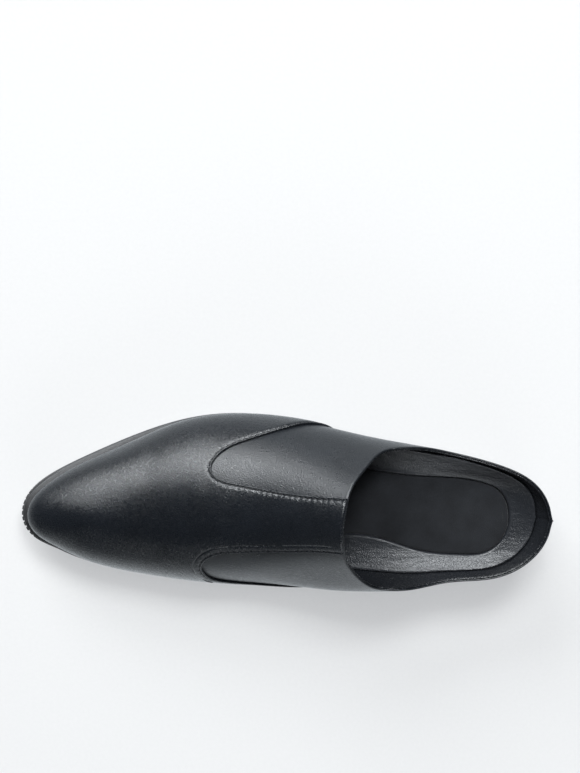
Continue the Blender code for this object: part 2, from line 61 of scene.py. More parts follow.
camera = bpy.data.objects.new("camera", bpy.data.cameras.new("camera"))
camera.data.lens = LENS
camera.data.sensor_width = SENSOR_WIDTH
forward = (CAMERA_TARGET - CAMERA_PLACE).normalized()
right = forward.cross(Vector((0, -1, 0))).normalized()
turn = Matrix((right, right.cross(forward), -forward)).transposed()
camera.matrix_world = Matrix.Translation(CAMERA_PLACE) @ turn.to_4x4()
bpy.context.scene.collection.objects.link(camera)
bpy.context.scene.camera = camera
print("camera distance:", round((CAMERA_TARGET - CAMERA_PLACE).length, 3), "m")

# %% [markdown]
# ## The last
# A shoe is pulled over a last, a solid form of the foot. Every piece here is worked out
# from the same last as the plain solids, so each finished piece lies where its solid does.
# The last could be sculpted by hand, but curves through a few named sections keep it
# smooth and let all the pieces share it.

# %% Sizes of the shoe, in metres
LENGTH = 0.296
BALL_WIDTH = 0.0935
INSTEP_HEIGHT = 0.066
HEEL_HEIGHT = 0.022
TOE_SPRING = 0.013
RIM_HEIGHT = 0.0165
GAP = 0.0003
OUTSOLE_THICKNESS = 0.0050
WELT_THICKNESS = 0.0030
UPPER_WALL = 0.0020
VAMP_THICKNESS = 0.0013
INSOLE_THICKNESS = 0.0036
SOCK_THICKNESS = 0.0016
TOP_PIECE_THICKNESS = 0.0060
WELT_MARGIN = 0.0034
HEEL_INSET = 0.0037
WELT_STRIP_WIDTH = 0.0080
EDGE_STEP = 0.0005
HEEL_TAPER = 0.0018
BREAST = 0.245
TREAD_START = 0.585
TREAD_END = 0.735
BREAST_HOLLOW = 0.0035
TOE_SPRING_CURVE = 1.8
AXIS_OFFSET = 0.083
LEAN = 0.0060
SOCK_BACK_INSET = 0.0192
SOCK_TOE_INSET = 0.0140
BACK_SEAM_STAND = 0.0007
BACK_SEAM_REACH = 0.0080

# %% Sections of the last, as shares of its length, ball width and instep height
LAST_OUTLINE = [
    # station, lateral, medial
    (0.035, 0.204, 0.215),
    (0.100, 0.288, 0.313),
    (0.190, 0.349, 0.332),
    (0.280, 0.392, 0.352),
    (0.380, 0.450, 0.341),
    (0.480, 0.538, 0.370),
    (0.580, 0.571, 0.400),
    (0.680, 0.539, 0.399),
    (0.780, 0.443, 0.356),
    (0.870, 0.326, 0.288),
    (0.940, 0.221, 0.196),
    (0.982, 0.127, 0.120),
]
SOCK_OUTLINE = [
    # station of the sock, lateral, medial
    (0.020, 0.155, 0.150),
    (0.060, 0.209, 0.214),
    (0.120, 0.236, 0.218),
    (0.200, 0.247, 0.190),
    (0.280, 0.272, 0.125),
    (0.340, 0.300, 0.108),
    (0.420, 0.342, 0.145),
    (0.540, 0.425, 0.250),
    (0.660, 0.450, 0.310),
    (0.780, 0.370, 0.275),
    (0.880, 0.262, 0.200),
    (0.960, 0.145, 0.120),
]
LAST_SECTIONS = [
    # station, ridge height, ridge offset, lateral and medial fullness, lateral and medial lean
    (0.00, 1.300, 0.000, 2.00, 2.00, 0.80, 0.50),
    (0.15, 1.260, 0.000, 2.00, 2.00, 1.16, 0.72),
    (0.30, 1.130, -0.030, 2.05, 2.05, 1.32, 1.18),
    (0.39, 1.000, -0.040, 2.05, 2.10, 1.22, 1.56),
    (0.50, 0.860, -0.040, 2.10, 2.15, 0.64, 0.86),
    (0.60, 0.745, -0.035, 2.20, 2.20, 0.50, 0.28),
    (0.70, 0.640, -0.030, 2.30, 2.25, 0.40, 0.02),
    (0.80, 0.545, -0.020, 2.35, 2.30, 0.04, 0.02),
    (0.90, 0.445, -0.010, 2.35, 2.35, 0.04, 0.02),
    (1.00, 0.330, 0.000, 2.35, 2.35, 0.04, 0.04),
]
SOLE_MARGINS = [
    # station, share of the welt's margin
    (0.00, 0.60), (0.20, 0.45), (0.42, 0.25), (0.62, 0.62), (0.85, 0.88), (1.00, 1.00),
]
COLLAR_BACK = [(0.000, 1.000), (0.060, 0.980), (0.130, 0.920), (0.195, 0.950)]
COLLAR_RISE = [
    # station, lateral rise, medial rise
    (0.2450, 0.175, 0.165),
    (0.2870, 0.232, 0.219),
    (0.3050, 0.262, 0.240),
    (0.3250, 0.320, 0.272),
    (0.3450, 0.430, 0.335),
    (0.3600, 0.530, 0.405),
    (0.3720, 0.630, 0.485),
    (0.3800, 0.728, 0.560),
    (0.3860, 0.850, 0.650),
    (0.3895, 0.945, 0.760),
    (0.3918, 1.000, 1.000),
]
LATERAL_PANEL = [
    # station and rise of the vamp's cut edge, from the sole round the nose to the collar
    (0.320, -0.120), (0.374, -0.010), (0.420, 0.100), (0.458, 0.178), (0.489, 0.258),
    (0.523, 0.336), (0.564, 0.417), (0.593, 0.466), (0.623, 0.532), (0.642, 0.599),
    (0.652, 0.668), (0.649, 0.722), (0.634, 0.759), (0.602, 0.784), (0.542, 0.806),
    (0.485, 0.814), (0.431, 0.799), (0.388, 0.770), (0.300, 0.720),
]
MEDIAL_PANEL = [
    (0.320, -0.120), (0.376, -0.010), (0.430, 0.075), (0.480, 0.122), (0.526, 0.155),
    (0.570, 0.182), (0.606, 0.218), (0.636, 0.282), (0.658, 0.414), (0.668, 0.534),
    (0.660, 0.643), (0.638, 0.696), (0.599, 0.716), (0.541, 0.723), (0.485, 0.727),
    (0.431, 0.736), (0.388, 0.731), (0.300, 0.700),
]
TOE_FAN = (0.40, 0.81)
HEEL_FAN = (0.30, 0.11)
THROAT_SHARE = 0.5
print("sections of the last:", len(LAST_SECTIONS))

# %% [markdown]
# ### Curves through the sections
# A spline goes through every value of a table without corners, as a draughtsman's batten
# does. It is solved once, and then gives its value at many stations in one call.

# %% Curves
def smooth_curve(knots, values, period=None):
    """A cubic spline through the values at the knots, closed on itself over a period."""
    knots, values = np.array(knots, float), np.array(values, float)
    if period:
        knots, values = np.append(knots, knots[0] + period), np.append(values, values[0])
    step = np.diff(knots)
    slope = np.diff(values) / step
    count = len(knots)
    system, target = np.zeros((count, count)), np.zeros(count)
    for i in range(1, count - 1):
        system[i, i - 1:i + 2] = step[i - 1], 2 * (step[i - 1] + step[i]), step[i]
        target[i] = 6 * (slope[i] - slope[i - 1])
    system[0, 0] = system[-1, -1] = 1
    if period:
        system[0, -1] = -1
        system[-1, :2] = 2 * step[0], step[0]
        system[-1, -2:] = step[-1], 2 * step[-1]
        target[-1] = 6 * (slope[0] - slope[-1])
    bend = np.linalg.solve(system, target)

    def value(at):
        at = np.asarray(at, float)
        if period:
            at = (at - knots[0]) % period + knots[0]
        i = np.clip(np.searchsorted(knots, at) - 1, 0, count - 2)
        a, b = knots[i + 1] - at, at - knots[i]
        cubic = (bend[i] * a ** 3 + bend[i + 1] * b ** 3) / (6 * step[i])
        left = values[i] / step[i] - bend[i] * step[i] / 6
        right = values[i + 1] / step[i] - bend[i + 1] * step[i] / 6
        return cubic + left * a + right * b

    return value


def column(rows, index):
    return [row[index] for row in rows]


def along(rows, index):
    return smooth_curve(column(rows, 0), column(rows, index))


def angle_of(station):
    """The angle round the outline, 0 at the heel and pi at the toe, of a station."""
    return np.arccos(1 - 2 * np.asarray(station, float))


def station_at(angle):
    return (1 - np.cos(angle)) / 2


def closed_outline(rows):
    """The sideways place round a closed outline, lateral negative, over 0 to 2 pi."""
    angles = [float(angle_of(station)) for station in column(rows, 0)]
    knots = [0.0, *angles, math.pi, *[2 * math.pi - a for a in reversed(angles)]]
    lateral = [-share for share in column(rows, 1)]
    values = [0.0, *lateral, 0.0, *reversed(column(rows, 2))]
    return smooth_curve(knots, values, period=2 * math.pi)


LAST_LENGTH = LENGTH - HEEL_INSET - WELT_MARGIN
LAST_BACK = -LENGTH / 2 + HEEL_INSET
AXIS_Y = AXIS_OFFSET * BALL_WIDTH
last_side = closed_outline(LAST_OUTLINE)
sock_side = closed_outline(SOCK_OUTLINE)
ridge_share, ridge_offset = along(LAST_SECTIONS, 1), along(LAST_SECTIONS, 2)
side_fullness = along(LAST_SECTIONS, 3), along(LAST_SECTIONS, 4)
side_lean = along(LAST_SECTIONS, 5), along(LAST_SECTIONS, 6)
margin_share = along(SOLE_MARGINS, 1)
print("last:", round(LAST_LENGTH * 1000, 1), "mm long")

# %% [markdown]
# ### The skin of the last
# A point of the skin has two numbers: the angle round the sole and the rise, 0 at the
# feather line where the upper meets the sole and 1 on the ridge of the instep. Working in
# these two numbers, a seam or a stitch can be laid on the shoe like a line on a flat
# pattern, and numpy places thousands of points at once.

# %% Plan and heights
def outline_point(angle):
    return np.stack([LAST_BACK + LAST_LENGTH * station_at(angle),
                     AXIS_Y + BALL_WIDTH * last_side(angle)], -1)


def plan_normal(place, angle):
    """The outward direction in plan of an outline given by place(angle)."""
    edge = place(angle + 1e-3) - place(angle - 1e-3)
    normal = np.stack([edge[..., 1], -edge[..., 0]], -1)
    return normal / np.linalg.norm(normal, axis=-1, keepdims=True)


def outward(angle):
    return plan_normal(outline_point, angle)


def smooth_step(t):
    t = np.clip(t, 0, 1)
    return t * t * (3 - 2 * t)


def tread_height(x):
    """The underside of the outsole: level heel seat, shank, flat forefoot, toe spring."""
    share = x / LENGTH + 0.5
    shank = HEEL_HEIGHT * (1 - smooth_step((share - BREAST) / (TREAD_START - BREAST)))
    spring = np.maximum(share - TREAD_END, 0) / (1 - TREAD_END)
    return shank + TOE_SPRING * spring ** TOE_SPRING_CURVE


def outsole_top(x):
    return tread_height(x) + OUTSOLE_THICKNESS


def feather_height(x):
    return outsole_top(x) + GAP + WELT_THICKNESS + GAP


def sole_margin(angle):
    return WELT_MARGIN * margin_share(station_at(angle))


def fan(share, reach):
    """Eases a station towards the end of a fan of ribs, whose share runs 0 to 1."""
    return share + (reach - 1) * share ** 2


def spine_station(station):
    start, end = TOE_FAN
    toe = start + (1 - start) * fan((station - start) / (1 - start), (end - start) / (1 - start))
    first, last = HEEL_FAN
    heel = first - first * fan((first - station) / first, (first - last) / first)
    return np.where(station > start, toe, np.where(station < first, heel, station))


# %% Points of the skin
LEAN_RISE, LEAN_FALL = 1.3, 3.5
LEAN_PEAK = 0.0606        # the highest value of the curve that those two powers give
RIDGE_BLEND = 0.90        # from this rise up, the normals of the two sides are blended
TOE_TUCK = 0.0018         # how far the upper is drawn in round the toe, to bare the sole's edge
TUCK_START = 0.84         # the station where that begins
TUCK_LOW, TUCK_HIGH = 0.35, 0.85          # the rises between which it fades


def between_sides(curves, station, angle):
    blend = smooth_step(0.5 - 0.5 * np.sin(angle))
    return (1 - blend) * curves[0](station) + blend * curves[1](station)


def last_point(angle, rise):
    """A point of the last's skin: round the outline by angle, up to the ridge by rise."""
    angle, rise = np.broadcast_arrays(np.asarray(angle, float), np.asarray(rise, float))
    station = station_at(angle)
    spine = spine_station(station)
    ridge = np.stack([LAST_BACK + LAST_LENGTH * spine,
                      AXIS_Y + BALL_WIDTH * ridge_offset(spine)], -1)
    foot = outline_point(angle)
    turn = np.clip(rise, 0, 1) * math.pi / 2
    power = 2 / between_sides(side_fullness, station, angle)
    inward = 1 - np.maximum(np.cos(turn), 0) ** power
    up = np.sin(turn) ** power
    lean = LEAN * between_sides(side_lean, station, angle)
    lean = lean * up ** LEAN_RISE * (1 - up) ** LEAN_FALL / LEAN_PEAK
    seam = np.abs(np.sin(angle)) * LAST_LENGTH / 2 / BACK_SEAM_REACH
    tent = BACK_SEAM_STAND * np.clip(1 - seam, 0, 1) * np.minimum(1, 8 * up)
    lean = lean + np.where(station < 0.1, tent, 0)
    place = foot + (ridge - foot) * inward[..., None] + outward(angle) * lean[..., None]
    x = place[..., 0]
    share = np.clip((x - LAST_BACK) / LAST_LENGTH, 0, 1)
    height = feather_height(x) + INSTEP_HEIGHT * ridge_share(share) * up
    return np.concatenate([place, height[..., None]], -1)


def unit(vectors):
    return vectors / np.maximum(np.linalg.norm(vectors, axis=-1, keepdims=True), 1e-12)


def side_normal(angle, rise):
    rise = np.clip(rise, 0.004, 0.996)
    round_it = last_point(angle + 1e-3, rise) - last_point(angle - 1e-3, rise)
    up_it = last_point(angle, rise + 2e-3) - last_point(angle, rise - 2e-3)
    return unit(np.cross(round_it, up_it))


def skin_normal(angle, rise):
    """The outward normal of the skin, shared by the two sides where they meet on the ridge."""
    angle, rise = np.broadcast_arrays(np.asarray(angle, float), np.asarray(rise, float))
    other = smooth_step((rise - RIDGE_BLEND) / (1 - RIDGE_BLEND))[..., None] / 2
    across_ridge = side_normal(2 * math.pi - angle, rise)
    return unit(side_normal(angle, rise) * (1 - other) + across_ridge * other)


def toe_tuck(angle, rise):
    near = smooth_step((station_at(angle) - TUCK_START) / (1 - TUCK_START)) ** 2
    return TOE_TUCK * near * (1 - smooth_step((rise - TUCK_LOW) / (TUCK_HIGH - TUCK_LOW)))


def raised(angle, rise, height):
    """A point at a height over the skin, measured along its normal."""
    height = np.asarray(height) - toe_tuck(angle, rise)
    return last_point(angle, rise) + skin_normal(angle, rise) * height[..., None]


def rise_at_height(angle, height):
    """The rise at which the skin stands this far over the feather line."""
    station = station_at(angle)
    up = np.minimum(height / (INSTEP_HEIGHT * ridge_share(station)), 1.0)
    return np.arcsin(up ** (between_sides(side_fullness, station, angle) / 2)) * 2 / math.pi


throat = last_point(angle_of(COLLAR_RISE[-1][0]), 1.0)
print("throat of the shoe:", np.round(throat * 1000, 1), "mm")

# %% [markdown]
# ### Turning a flat grid into a piece
# Most pieces start as Blender's flat grid, whose points then move to their place on the
# shoe. A piece that closes round the shoe is a stack of rings, one ring to each row of
# the grid, and its first and last columns are merged.

# %% Grid helpers
WELD = 2e-6


def grid_place(point, columns, rows):
    """Column and row of a point of Blender's flat grid, which runs from -1 to 1."""
    return (point.x / 2 + 0.5) * columns, (point.y / 2 + 0.5) * rows


def laid_grid(table, slot=None):
    """A flat grid whose points go to the places of a table; faces in the slot are left out."""
    columns, rows = table.shape[0] - 1, table.shape[1] - 1
    grid = bmesh.new()
    bmesh.ops.create_grid(grid, x_segments=columns, y_segments=rows, size=1)
    if slot:
        middles = [grid_place(face.calc_center_median(), columns, rows) for face in grid.faces]
        bare = [face for face, middle in zip(grid.faces, middles) if slot(*middle)]
        bmesh.ops.delete(grid, geom=bare, context="FACES")
    for vert in grid.verts:
        column_at, row_at = grid_place(vert.co, columns, rows)
        vert.co = table[round(column_at), round(row_at)]
    return grid


def ringed(rings, turns, looped=False):
    """A skin through rings, each a function of the angles round the shoe."""
    rings = list(rings) + (rings[:1] if looped else [])
    return laid_grid(np.stack([ring(turns) for ring in rings], 1))


def finish_piece(name, skin, material, smooth_angle=None):
    """Welds a skin and makes it an object that rides the shoe."""
    bmesh.ops.remove_doubles(skin, verts=skin.verts, dist=WELD)
    bmesh.ops.dissolve_degenerate(skin, edges=skin.edges, dist=WELD / 2)
    mesh = bpy.data.meshes.new(name)
    skin.to_mesh(mesh)
    skin.free()
    mesh.shade_smooth()
    if smooth_angle:
        mesh.set_sharp_from_angle(angle=math.radians(smooth_angle))
    mesh.materials.append(material)
    piece = bpy.data.objects.new(name, mesh)
    bpy.context.scene.collection.objects.link(piece)
    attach(piece, "root")
    print(f"{name}: {len(mesh.polygons)} faces")
    return piece


def face_outwards(skin):
    """Turns all the faces of a skin the same way, so that its highest face looks up."""
    bmesh.ops.recalc_face_normals(skin, faces=skin.faces)
    top = max(skin.faces, key=lambda face: face.calc_center_median().z)
    if top.normal.z < 0:
        bmesh.ops.reverse_faces(skin, faces=skin.faces)
    return skin


def all_round(count):
    return np.linspace(0, 2 * math.pi, count + 1)


# %% [markdown]
# ## Materials
# Box calf is smooth, but close up its grain is a net of tiny pebbles that scatters the
# light into a soft grey sheen. The grain is too small to model, so it is bump: a cellular
# pattern for the pebbles, with a softer noise under it that makes the gloss uneven.

# %% A helper for node materials
class Finish:
    """A material that is built up node by node round one Principled shader."""

    def __init__(self, name):
        self.material = bpy.data.materials.new(name)
        self.material.use_nodes = True
        self.tree = self.material.node_tree
        self.shader = self.tree.nodes["Principled BSDF"]
        self.place = self.tree.nodes.new("ShaderNodeTexCoord").outputs["Object"]

    def set(self, **values):
        for name, value in values.items():
            socket = self.shader.inputs[name.replace("_", " ")]
            socket.default_value = (*value, 1) if isinstance(value, tuple) else value
        return self

    def node(self, kind, **inputs):
        made = self.tree.nodes.new("ShaderNode" + kind)
        for name, value in inputs.items():
            socket = made.inputs[name.replace("_", " ")]
            if isinstance(value, bpy.types.NodeSocket):
                self.tree.links.new(value, socket)
            else:
                socket.default_value = value
        return made

    def noise(self, size, detail=3.0, rough=0.55, stretch=None):
        """Soft noise whose patches are about size across, in metres."""
        place = self.place
        if stretch:
            mapped = self.node("Mapping", Vector=place)
            mapped.inputs["Scale"].default_value = stretch
            place = mapped.outputs[0]
        made = self.node("TexNoise", Vector=place, Scale=1 / size, Detail=detail, Roughness=rough)
        return made.outputs[0]

    def cells(self, size):
        """Rounded cells about size across, in metres."""
        return self.node("TexVoronoi", Vector=self.place, Scale=1 / size).outputs["Distance"]

    def ramp(self, value, *stops):
        """Maps a value through stops of (place, grey or colour)."""
        made = self.node("ValToRGB", Fac=value)
        points = made.color_ramp.elements
        while len(points) < len(stops):
            points.new(0.5)
        for point, (at, tone) in zip(points, stops):
            point.position = at
            point.color = (*tone, 1) if isinstance(tone, tuple) else (tone, tone, tone, 1)
        return made.outputs[0]

    def bump(self, height, distance, strength=1.0, under=None):
        made = self.node("Bump", Height=height, Distance=distance, Strength=strength)
        if under is not None:
            self.tree.links.new(under, made.inputs["Normal"])
        return made.outputs[0]

    def wire(self, **links):
        for name, output in links.items():
            self.tree.links.new(output, self.shader.inputs[name.replace("_", " ")])
        return self


# %% Calf leather
PEBBLE = 0.00062
GRAIN_PATCH = 0.0016
DYE_CLOUD = 0.03
FOLD_WIDTH = 0.006


def calf(name, shade, gloss, pebble=PEBBLE, depth=0.00012, folds=0.0):
    """Black dyed calf: near black, a cool sheen, a pebbled grain and an uneven gloss."""
    skin = Finish(name)
    patch = skin.noise(GRAIN_PATCH, detail=4)
    cloud = skin.noise(DYE_CLOUD, detail=3)
    dark, light = (tuple(c * share for c in shade) for share in (0.8, 1.25))
    tone = skin.ramp(cloud, (0.3, dark), (0.7, light))
    rough = skin.ramp(patch, (0.3, gloss - 0.07), (0.75, gloss + 0.09))
    pebbles = skin.bump(skin.cells(pebble), depth)
    grain = skin.bump(skin.noise(pebble * 1.8, detail=2), depth, 0.8, pebbles)
    if folds:
        long = skin.noise(FOLD_WIDTH, detail=2, stretch=(0.35, 1.3, 1.0))
        grain = skin.bump(long, folds, 1.0, grain)
    skin.set(IOR=1.5, Coat_Weight=0.05, Coat_Roughness=0.30)
    return skin.wire(Base_Color=tone, Roughness=rough, Normal=grain)


# Vamp and quarters are one black calf: the vamp's darker base is painted shade, the quarters' lighter base
# is painted light.
vamp_calf_painted_shade = calf("vamp_calf_painted_shade", (0.0042, 0.0052, 0.0070), 0.29).material
quarter_calf_painted_light = calf("quarter_calf_painted_light", (0.0050, 0.0062, 0.0082), 0.33).material
lining_calf = calf("lining_calf", (0.0070, 0.0078, 0.0095), 0.27,
                   pebble=0.0007, depth=0.00010, folds=0.0009).material
footbed_calf = calf("footbed_calf", (0.0120, 0.0132, 0.0158), 0.34,
                    pebble=0.0006, depth=0.00012, folds=0.0005).material
print("leathers:", [m.name for m in bpy.data.materials if "calf" in m.name])

# %% Suede, thread, edges and rubber
suede = Finish("sock_suede")
nap = suede.noise(0.0005, detail=4, rough=0.7)
brushed = suede.noise(0.012, detail=3)
suede_tone = suede.ramp(brushed, (0.3, (0.0048, 0.0054, 0.0068)), (0.7, (0.0086, 0.0096, 0.0118)))
suede.set(Roughness=0.92, Sheen_Weight=0.15, Sheen_Roughness=0.5, Specular_IOR_Level=0.25)
sock_suede = suede.wire(Base_Color=suede_tone, Normal=suede.bump(nap, 0.00025)).material

waxed = Finish("waxed_thread")
twist = waxed.noise(0.0002, detail=2, stretch=(1.0, 3.0, 1.0))
waxed.set(Roughness=0.5)
thread = waxed.wire(
    Base_Color=waxed.ramp(twist, (0.3, (0.004, 0.004, 0.005)), (0.7, (0.011, 0.011, 0.013))),
    Normal=waxed.bump(twist, 0.0001),
).material


def edge_finish(name, shade, rough, layers=0.0):
    """Inked edges of leather or rubber: nearly flat black, faintly layered and scuffed."""
    edge = Finish(name)
    rubbed = edge.noise(0.004, detail=4)
    fine = edge.noise(0.0006, detail=3)
    tone = edge.ramp(rubbed, (0.35, shade), (0.8, tuple(c * 1.9 for c in shade)))
    gloss = edge.ramp(rubbed, (0.3, rough - 0.08), (0.8, rough + 0.08))
    relief = edge.bump(fine, 0.00008)
    if layers:
        bands = edge.noise(layers, detail=1, stretch=(0.02, 0.02, 1.0))
        relief = edge.bump(bands, 0.00012, 0.8, relief)
    return edge.wire(Base_Color=tone, Roughness=gloss, Normal=relief).material


welt_edge = edge_finish("welt_edge", (0.016, 0.016, 0.017), 0.42)
heel_stack = edge_finish("heel_stack", (0.014, 0.014, 0.015), 0.40, layers=0.0022)
sole_rubber = edge_finish("sole_rubber", (0.018, 0.018, 0.019), 0.62)
raw_edge = edge_finish("raw_leather_edge", (0.060, 0.035, 0.022), 0.60)
print("finishes:", len(bpy.data.materials))

# %% [markdown]
# ## The collar
# The collar is the line where the foot goes in. It starts low round the heel and climbs
# to the throat, and half of the upper's columns end on it.

# %% The collar's line
def on_side(angle, medial):
    return 2 * math.pi - angle if medial else angle


def skin_length(angle, rise, medial=False):
    """Length along a line on the skin, from its start to each of its points."""
    points = last_point(on_side(angle, medial), np.maximum(rise, 0))
    points[:, 2] += np.minimum(rise, 0) * INSTEP_HEIGHT
    return np.concatenate([[0], np.cumsum(np.linalg.norm(np.diff(points, axis=0), axis=1))])


def spread(angle, rise):
    """A line of angles and rises as two curves over 0 to 1, evenly spread along it."""
    angle, rise = np.array(angle, float), np.array(rise, float)
    length = skin_length(angle, rise)
    return smooth_curve(length / length[-1], angle), smooth_curve(length / length[-1], rise)


def collar_curves(side):
    back_angles = angle_of(column(COLLAR_BACK, 0))
    heights = RIM_HEIGHT * np.array(column(COLLAR_BACK, 1))
    angle = np.concatenate([back_angles, angle_of(column(COLLAR_RISE, 0))])
    rise = np.concatenate([rise_at_height(back_angles, heights), column(COLLAR_RISE, side)])
    return spread(angle, rise)


collar_lines = [collar_curves(1), collar_curves(2)]
THROAT_ANGLE = float(angle_of(COLLAR_RISE[-1][0]))


def rib_end(share, medial):
    """The angle and rise at which a rib ends, on the collar or on the ridge."""
    collar_angle, collar_rise = collar_lines[medial]
    on_collar = share <= THROAT_SHARE
    t = np.clip(share / THROAT_SHARE, 0, 1)
    beyond = np.clip((share - THROAT_SHARE) / (1 - THROAT_SHARE), 0, 1)
    angle = np.where(on_collar, collar_angle(t), THROAT_ANGLE + (math.pi - THROAT_ANGLE) * beyond)
    return angle, np.where(on_collar, collar_rise(t), 1.0)


def upper_place(across, up):
    """Angle and rise of a point of the upper; across runs 0 to 2 round the outline."""
    across, up = np.broadcast_arrays(np.asarray(across, float), np.asarray(up, float))
    medial = across > 1
    share = np.where(medial, 2 - across, across)
    lateral_end, medial_end = rib_end(share, 0), rib_end(share, 1)
    end = np.where(medial, medial_end[0], lateral_end[0])
    top = np.where(medial, medial_end[1], lateral_end[1])
    foot = share * math.pi
    angle = foot + (end - foot) * up
    return np.where(medial, 2 * math.pi - angle, angle), top * up


# %% The collar's frame: where its edge is, its normal and the way off the leather
OPENING_MIDDLE = np.array([-0.075, AXIS_Y, 0.055])


def way_off(edge, normal, run):
    """Off the leather: in the skin, square to its edge and towards the opening."""
    out = unit(np.cross(normal, unit(run)))
    return out * np.sign(np.sum(out * (OPENING_MIDDLE - edge), -1, keepdims=True))


def collar_frame(across):
    """Edge, normal and way off at places all round the collar, the last one like the first."""
    angle, rise = upper_place(across, 1.0)
    edge, normal = last_point(angle, rise), skin_normal(angle, rise)
    run = np.gradient(edge, axis=0)
    run[0] = run[-1] = edge[1] - edge[-2]
    return edge, normal, way_off(edge, normal, run)


collar_round = upper_place(np.linspace(-THROAT_SHARE, THROAT_SHARE, 480) % 2, 1.0)
print("collar:", round(skin_length(*collar_round)[-1] * 1000), "mm round")

# %% [markdown]
# ## The quarters
# The quarters are the sides and the back of the upper. Their top edge is folded over, so
# it is round and smooth. The skin goes up the outside, rolls over the collar and ends
# inside the wall as one closed shell, which keeps the fold free of any seam. A Solidify
# modifier would leave that edge square.

# %% Quarters
UPPER_COLUMNS = 480
UPPER_ROWS = 44
INSIDE_ROWS = (0.9, 0.6, 0.3, 0.02)       # rows of a shell's hidden side, from the collar down
QUARTER_BACK = 0.5        # the shell's hidden side, as a share of the wall's thickness
SETBACK = 0.0009          # the skin ends this far short of the collar, where the roll starts
OUTER_ROLL = [
    # depth in the wall, distance beyond the collar line, in mm
    (0.05, -0.50), (0.20, -0.18), (0.42, -0.03), (0.62, 0.00), (0.84, -0.06), (1.02, -0.24),
    (1.12, -0.55), (1.14, -1.20), (1.10, -2.50),
]


def outside_ring(up, height=0.0):
    """A row of the upper's skin, drawn back a little as it nears the collar."""
    def ring(across):
        out = collar_frame(across)[2]
        back = out * SETBACK * smooth_step((up - 0.7) / 0.3)
        return raised(*upper_place(across, up), height) - back
    return ring


def edge_ring(depth, beyond):
    """A row of the collar's rolled edge."""
    def ring(across):
        edge, normal, out = collar_frame(across)
        return edge - normal * depth / 1000 + out * beyond / 1000
    return ring


def rows_up(count, ease=1.25):
    return (np.arange(count + 1) / count) ** ease


def closed_shell(name, rings, turns, material, smooth_angle=None):
    """A piece all round the shoe, whose last ring is joined to its first."""
    skin = ringed(rings, turns, looped=True)
    bmesh.ops.remove_doubles(skin, verts=skin.verts, dist=WELD)
    bmesh.ops.recalc_face_normals(skin, faces=skin.faces)
    return finish_piece(name, skin, material, smooth_angle)


upper_turns = np.linspace(0, 2, UPPER_COLUMNS + 1)
quarter_rings = [outside_ring(up) for up in rows_up(UPPER_ROWS)]
quarter_rings += [edge_ring(*row) for row in OUTER_ROLL]
quarter_rings += [outside_ring(up, -UPPER_WALL * QUARTER_BACK) for up in INSIDE_ROWS]
quarters = closed_shell("quarters", quarter_rings, upper_turns, quarter_calf_painted_light)
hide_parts("upper")

# %% [markdown]
# ## The lining
# Inside, the shoe is lined with thin glazed calf that creases as it is lasted. It is a
# shell of its own just inside the quarters, so that it can have its own gloss. Its edge
# comes up beside the outer roll, with a fine groove between the two.

# %% Lining
INNER_ROLL = [
    # depth in the wall, distance beyond the collar line, in mm
    (2.00, -1.20), (1.98, -0.62), (1.90, -0.40), (1.72, -0.24), (1.52, -0.20), (1.34, -0.30),
    (1.22, -0.50), (1.18, -1.20), (1.18, -2.50),
]
LINING_ROWS = 26
LINING_BACK = 0.62        # the shell's hidden side, as a share of the wall's thickness
LEAN_FOOT = 0.004         # up to this height over the feather line the wall leans in fully
LEAN_END = 0.0155         # and from this height up it stands straight at the heel
LEAN_END_FRONT = 0.010    # that height is this much greater at the front
WALL_FOOT = [
    # angle round the shoe, how far the lining's foot leans in, in mm
    (0.00, 4.6), (0.50, 1.4), (1.00, 0.4), (3.14, 0.4), (4.08, 2.0), (4.68, 6.0), (4.93, 6.0),
    (5.28, 2.2), (5.58, 0.9), (5.98, 3.2),
]
wall_foot = smooth_curve(column(WALL_FOOT, 0), column(WALL_FOOT, 1), period=2 * math.pi)


def wall_inward(angle, over):
    """How far the inside of the wall leans in, at a height over the feather line."""
    end = LEAN_END + LEAN_END_FRONT * smooth_step((station_at(angle) - 0.2) / 0.15)
    foot = np.maximum(wall_foot(angle), 0) / 1000
    return foot * (1 - smooth_step((over - LEAN_FOOT) / (end - LEAN_FOOT)))


def lining_ring(up):
    def ring(across):
        angle, rise = upper_place(across, up)
        place = outside_ring(up, -UPPER_WALL)(across)
        over = place[:, 2] - feather_height(place[:, 0])
        place[:, :2] -= outward(angle) * wall_inward(angle, over)[:, None]
        return place
    return ring


lining_rings = [lining_ring(up) for up in rows_up(LINING_ROWS)]
lining_rings += [edge_ring(*row) for row in INNER_ROLL]
lining_rings += [outside_ring(up, -UPPER_WALL * LINING_BACK) for up in INSIDE_ROWS]
lining = closed_shell("lining", lining_rings, upper_turns, lining_calf)

# %% [markdown]
# ## The back seam
# The two quarters meet in a seam down the heel. Their cut edges show as a thin brown line
# that stands up a little, because the dye doesn't reach into the leather.

# %% Back seam
BACK_SEAM_WIDTH = 0.0012
BACK_SEAM_HEIGHT = 0.00045
BACK_SEAM_SINK = 0.0001
BACK_SEAM_FOOT = 0.02     # the rise at which the seam starts
BACK_SEAM_TOP = 1.02      # where it ends, as a share of the collar's rise


def back_seam_place(across, up):
    """A narrow ridge up the middle of the heel; across turns over it."""
    top = float(collar_lines[0][1](0.0)) * BACK_SEAM_TOP
    rise = BACK_SEAM_FOOT + (top - BACK_SEAM_FOOT) * up
    swell = np.sin(math.pi * np.clip(up, 0.02, 0.98)) ** 0.3
    turn = (across - 0.5) * math.pi
    middle, normal = last_point(0.0, rise), skin_normal(0.0, rise)
    side = unit(np.cross(normal, np.array([0.0, 0.0, 1.0])))
    height = BACK_SEAM_HEIGHT * np.cos(turn) * swell - BACK_SEAM_SINK
    width = BACK_SEAM_WIDTH / 2 * np.sin(turn) * swell
    return middle + normal * height[..., None] + side * width[..., None]


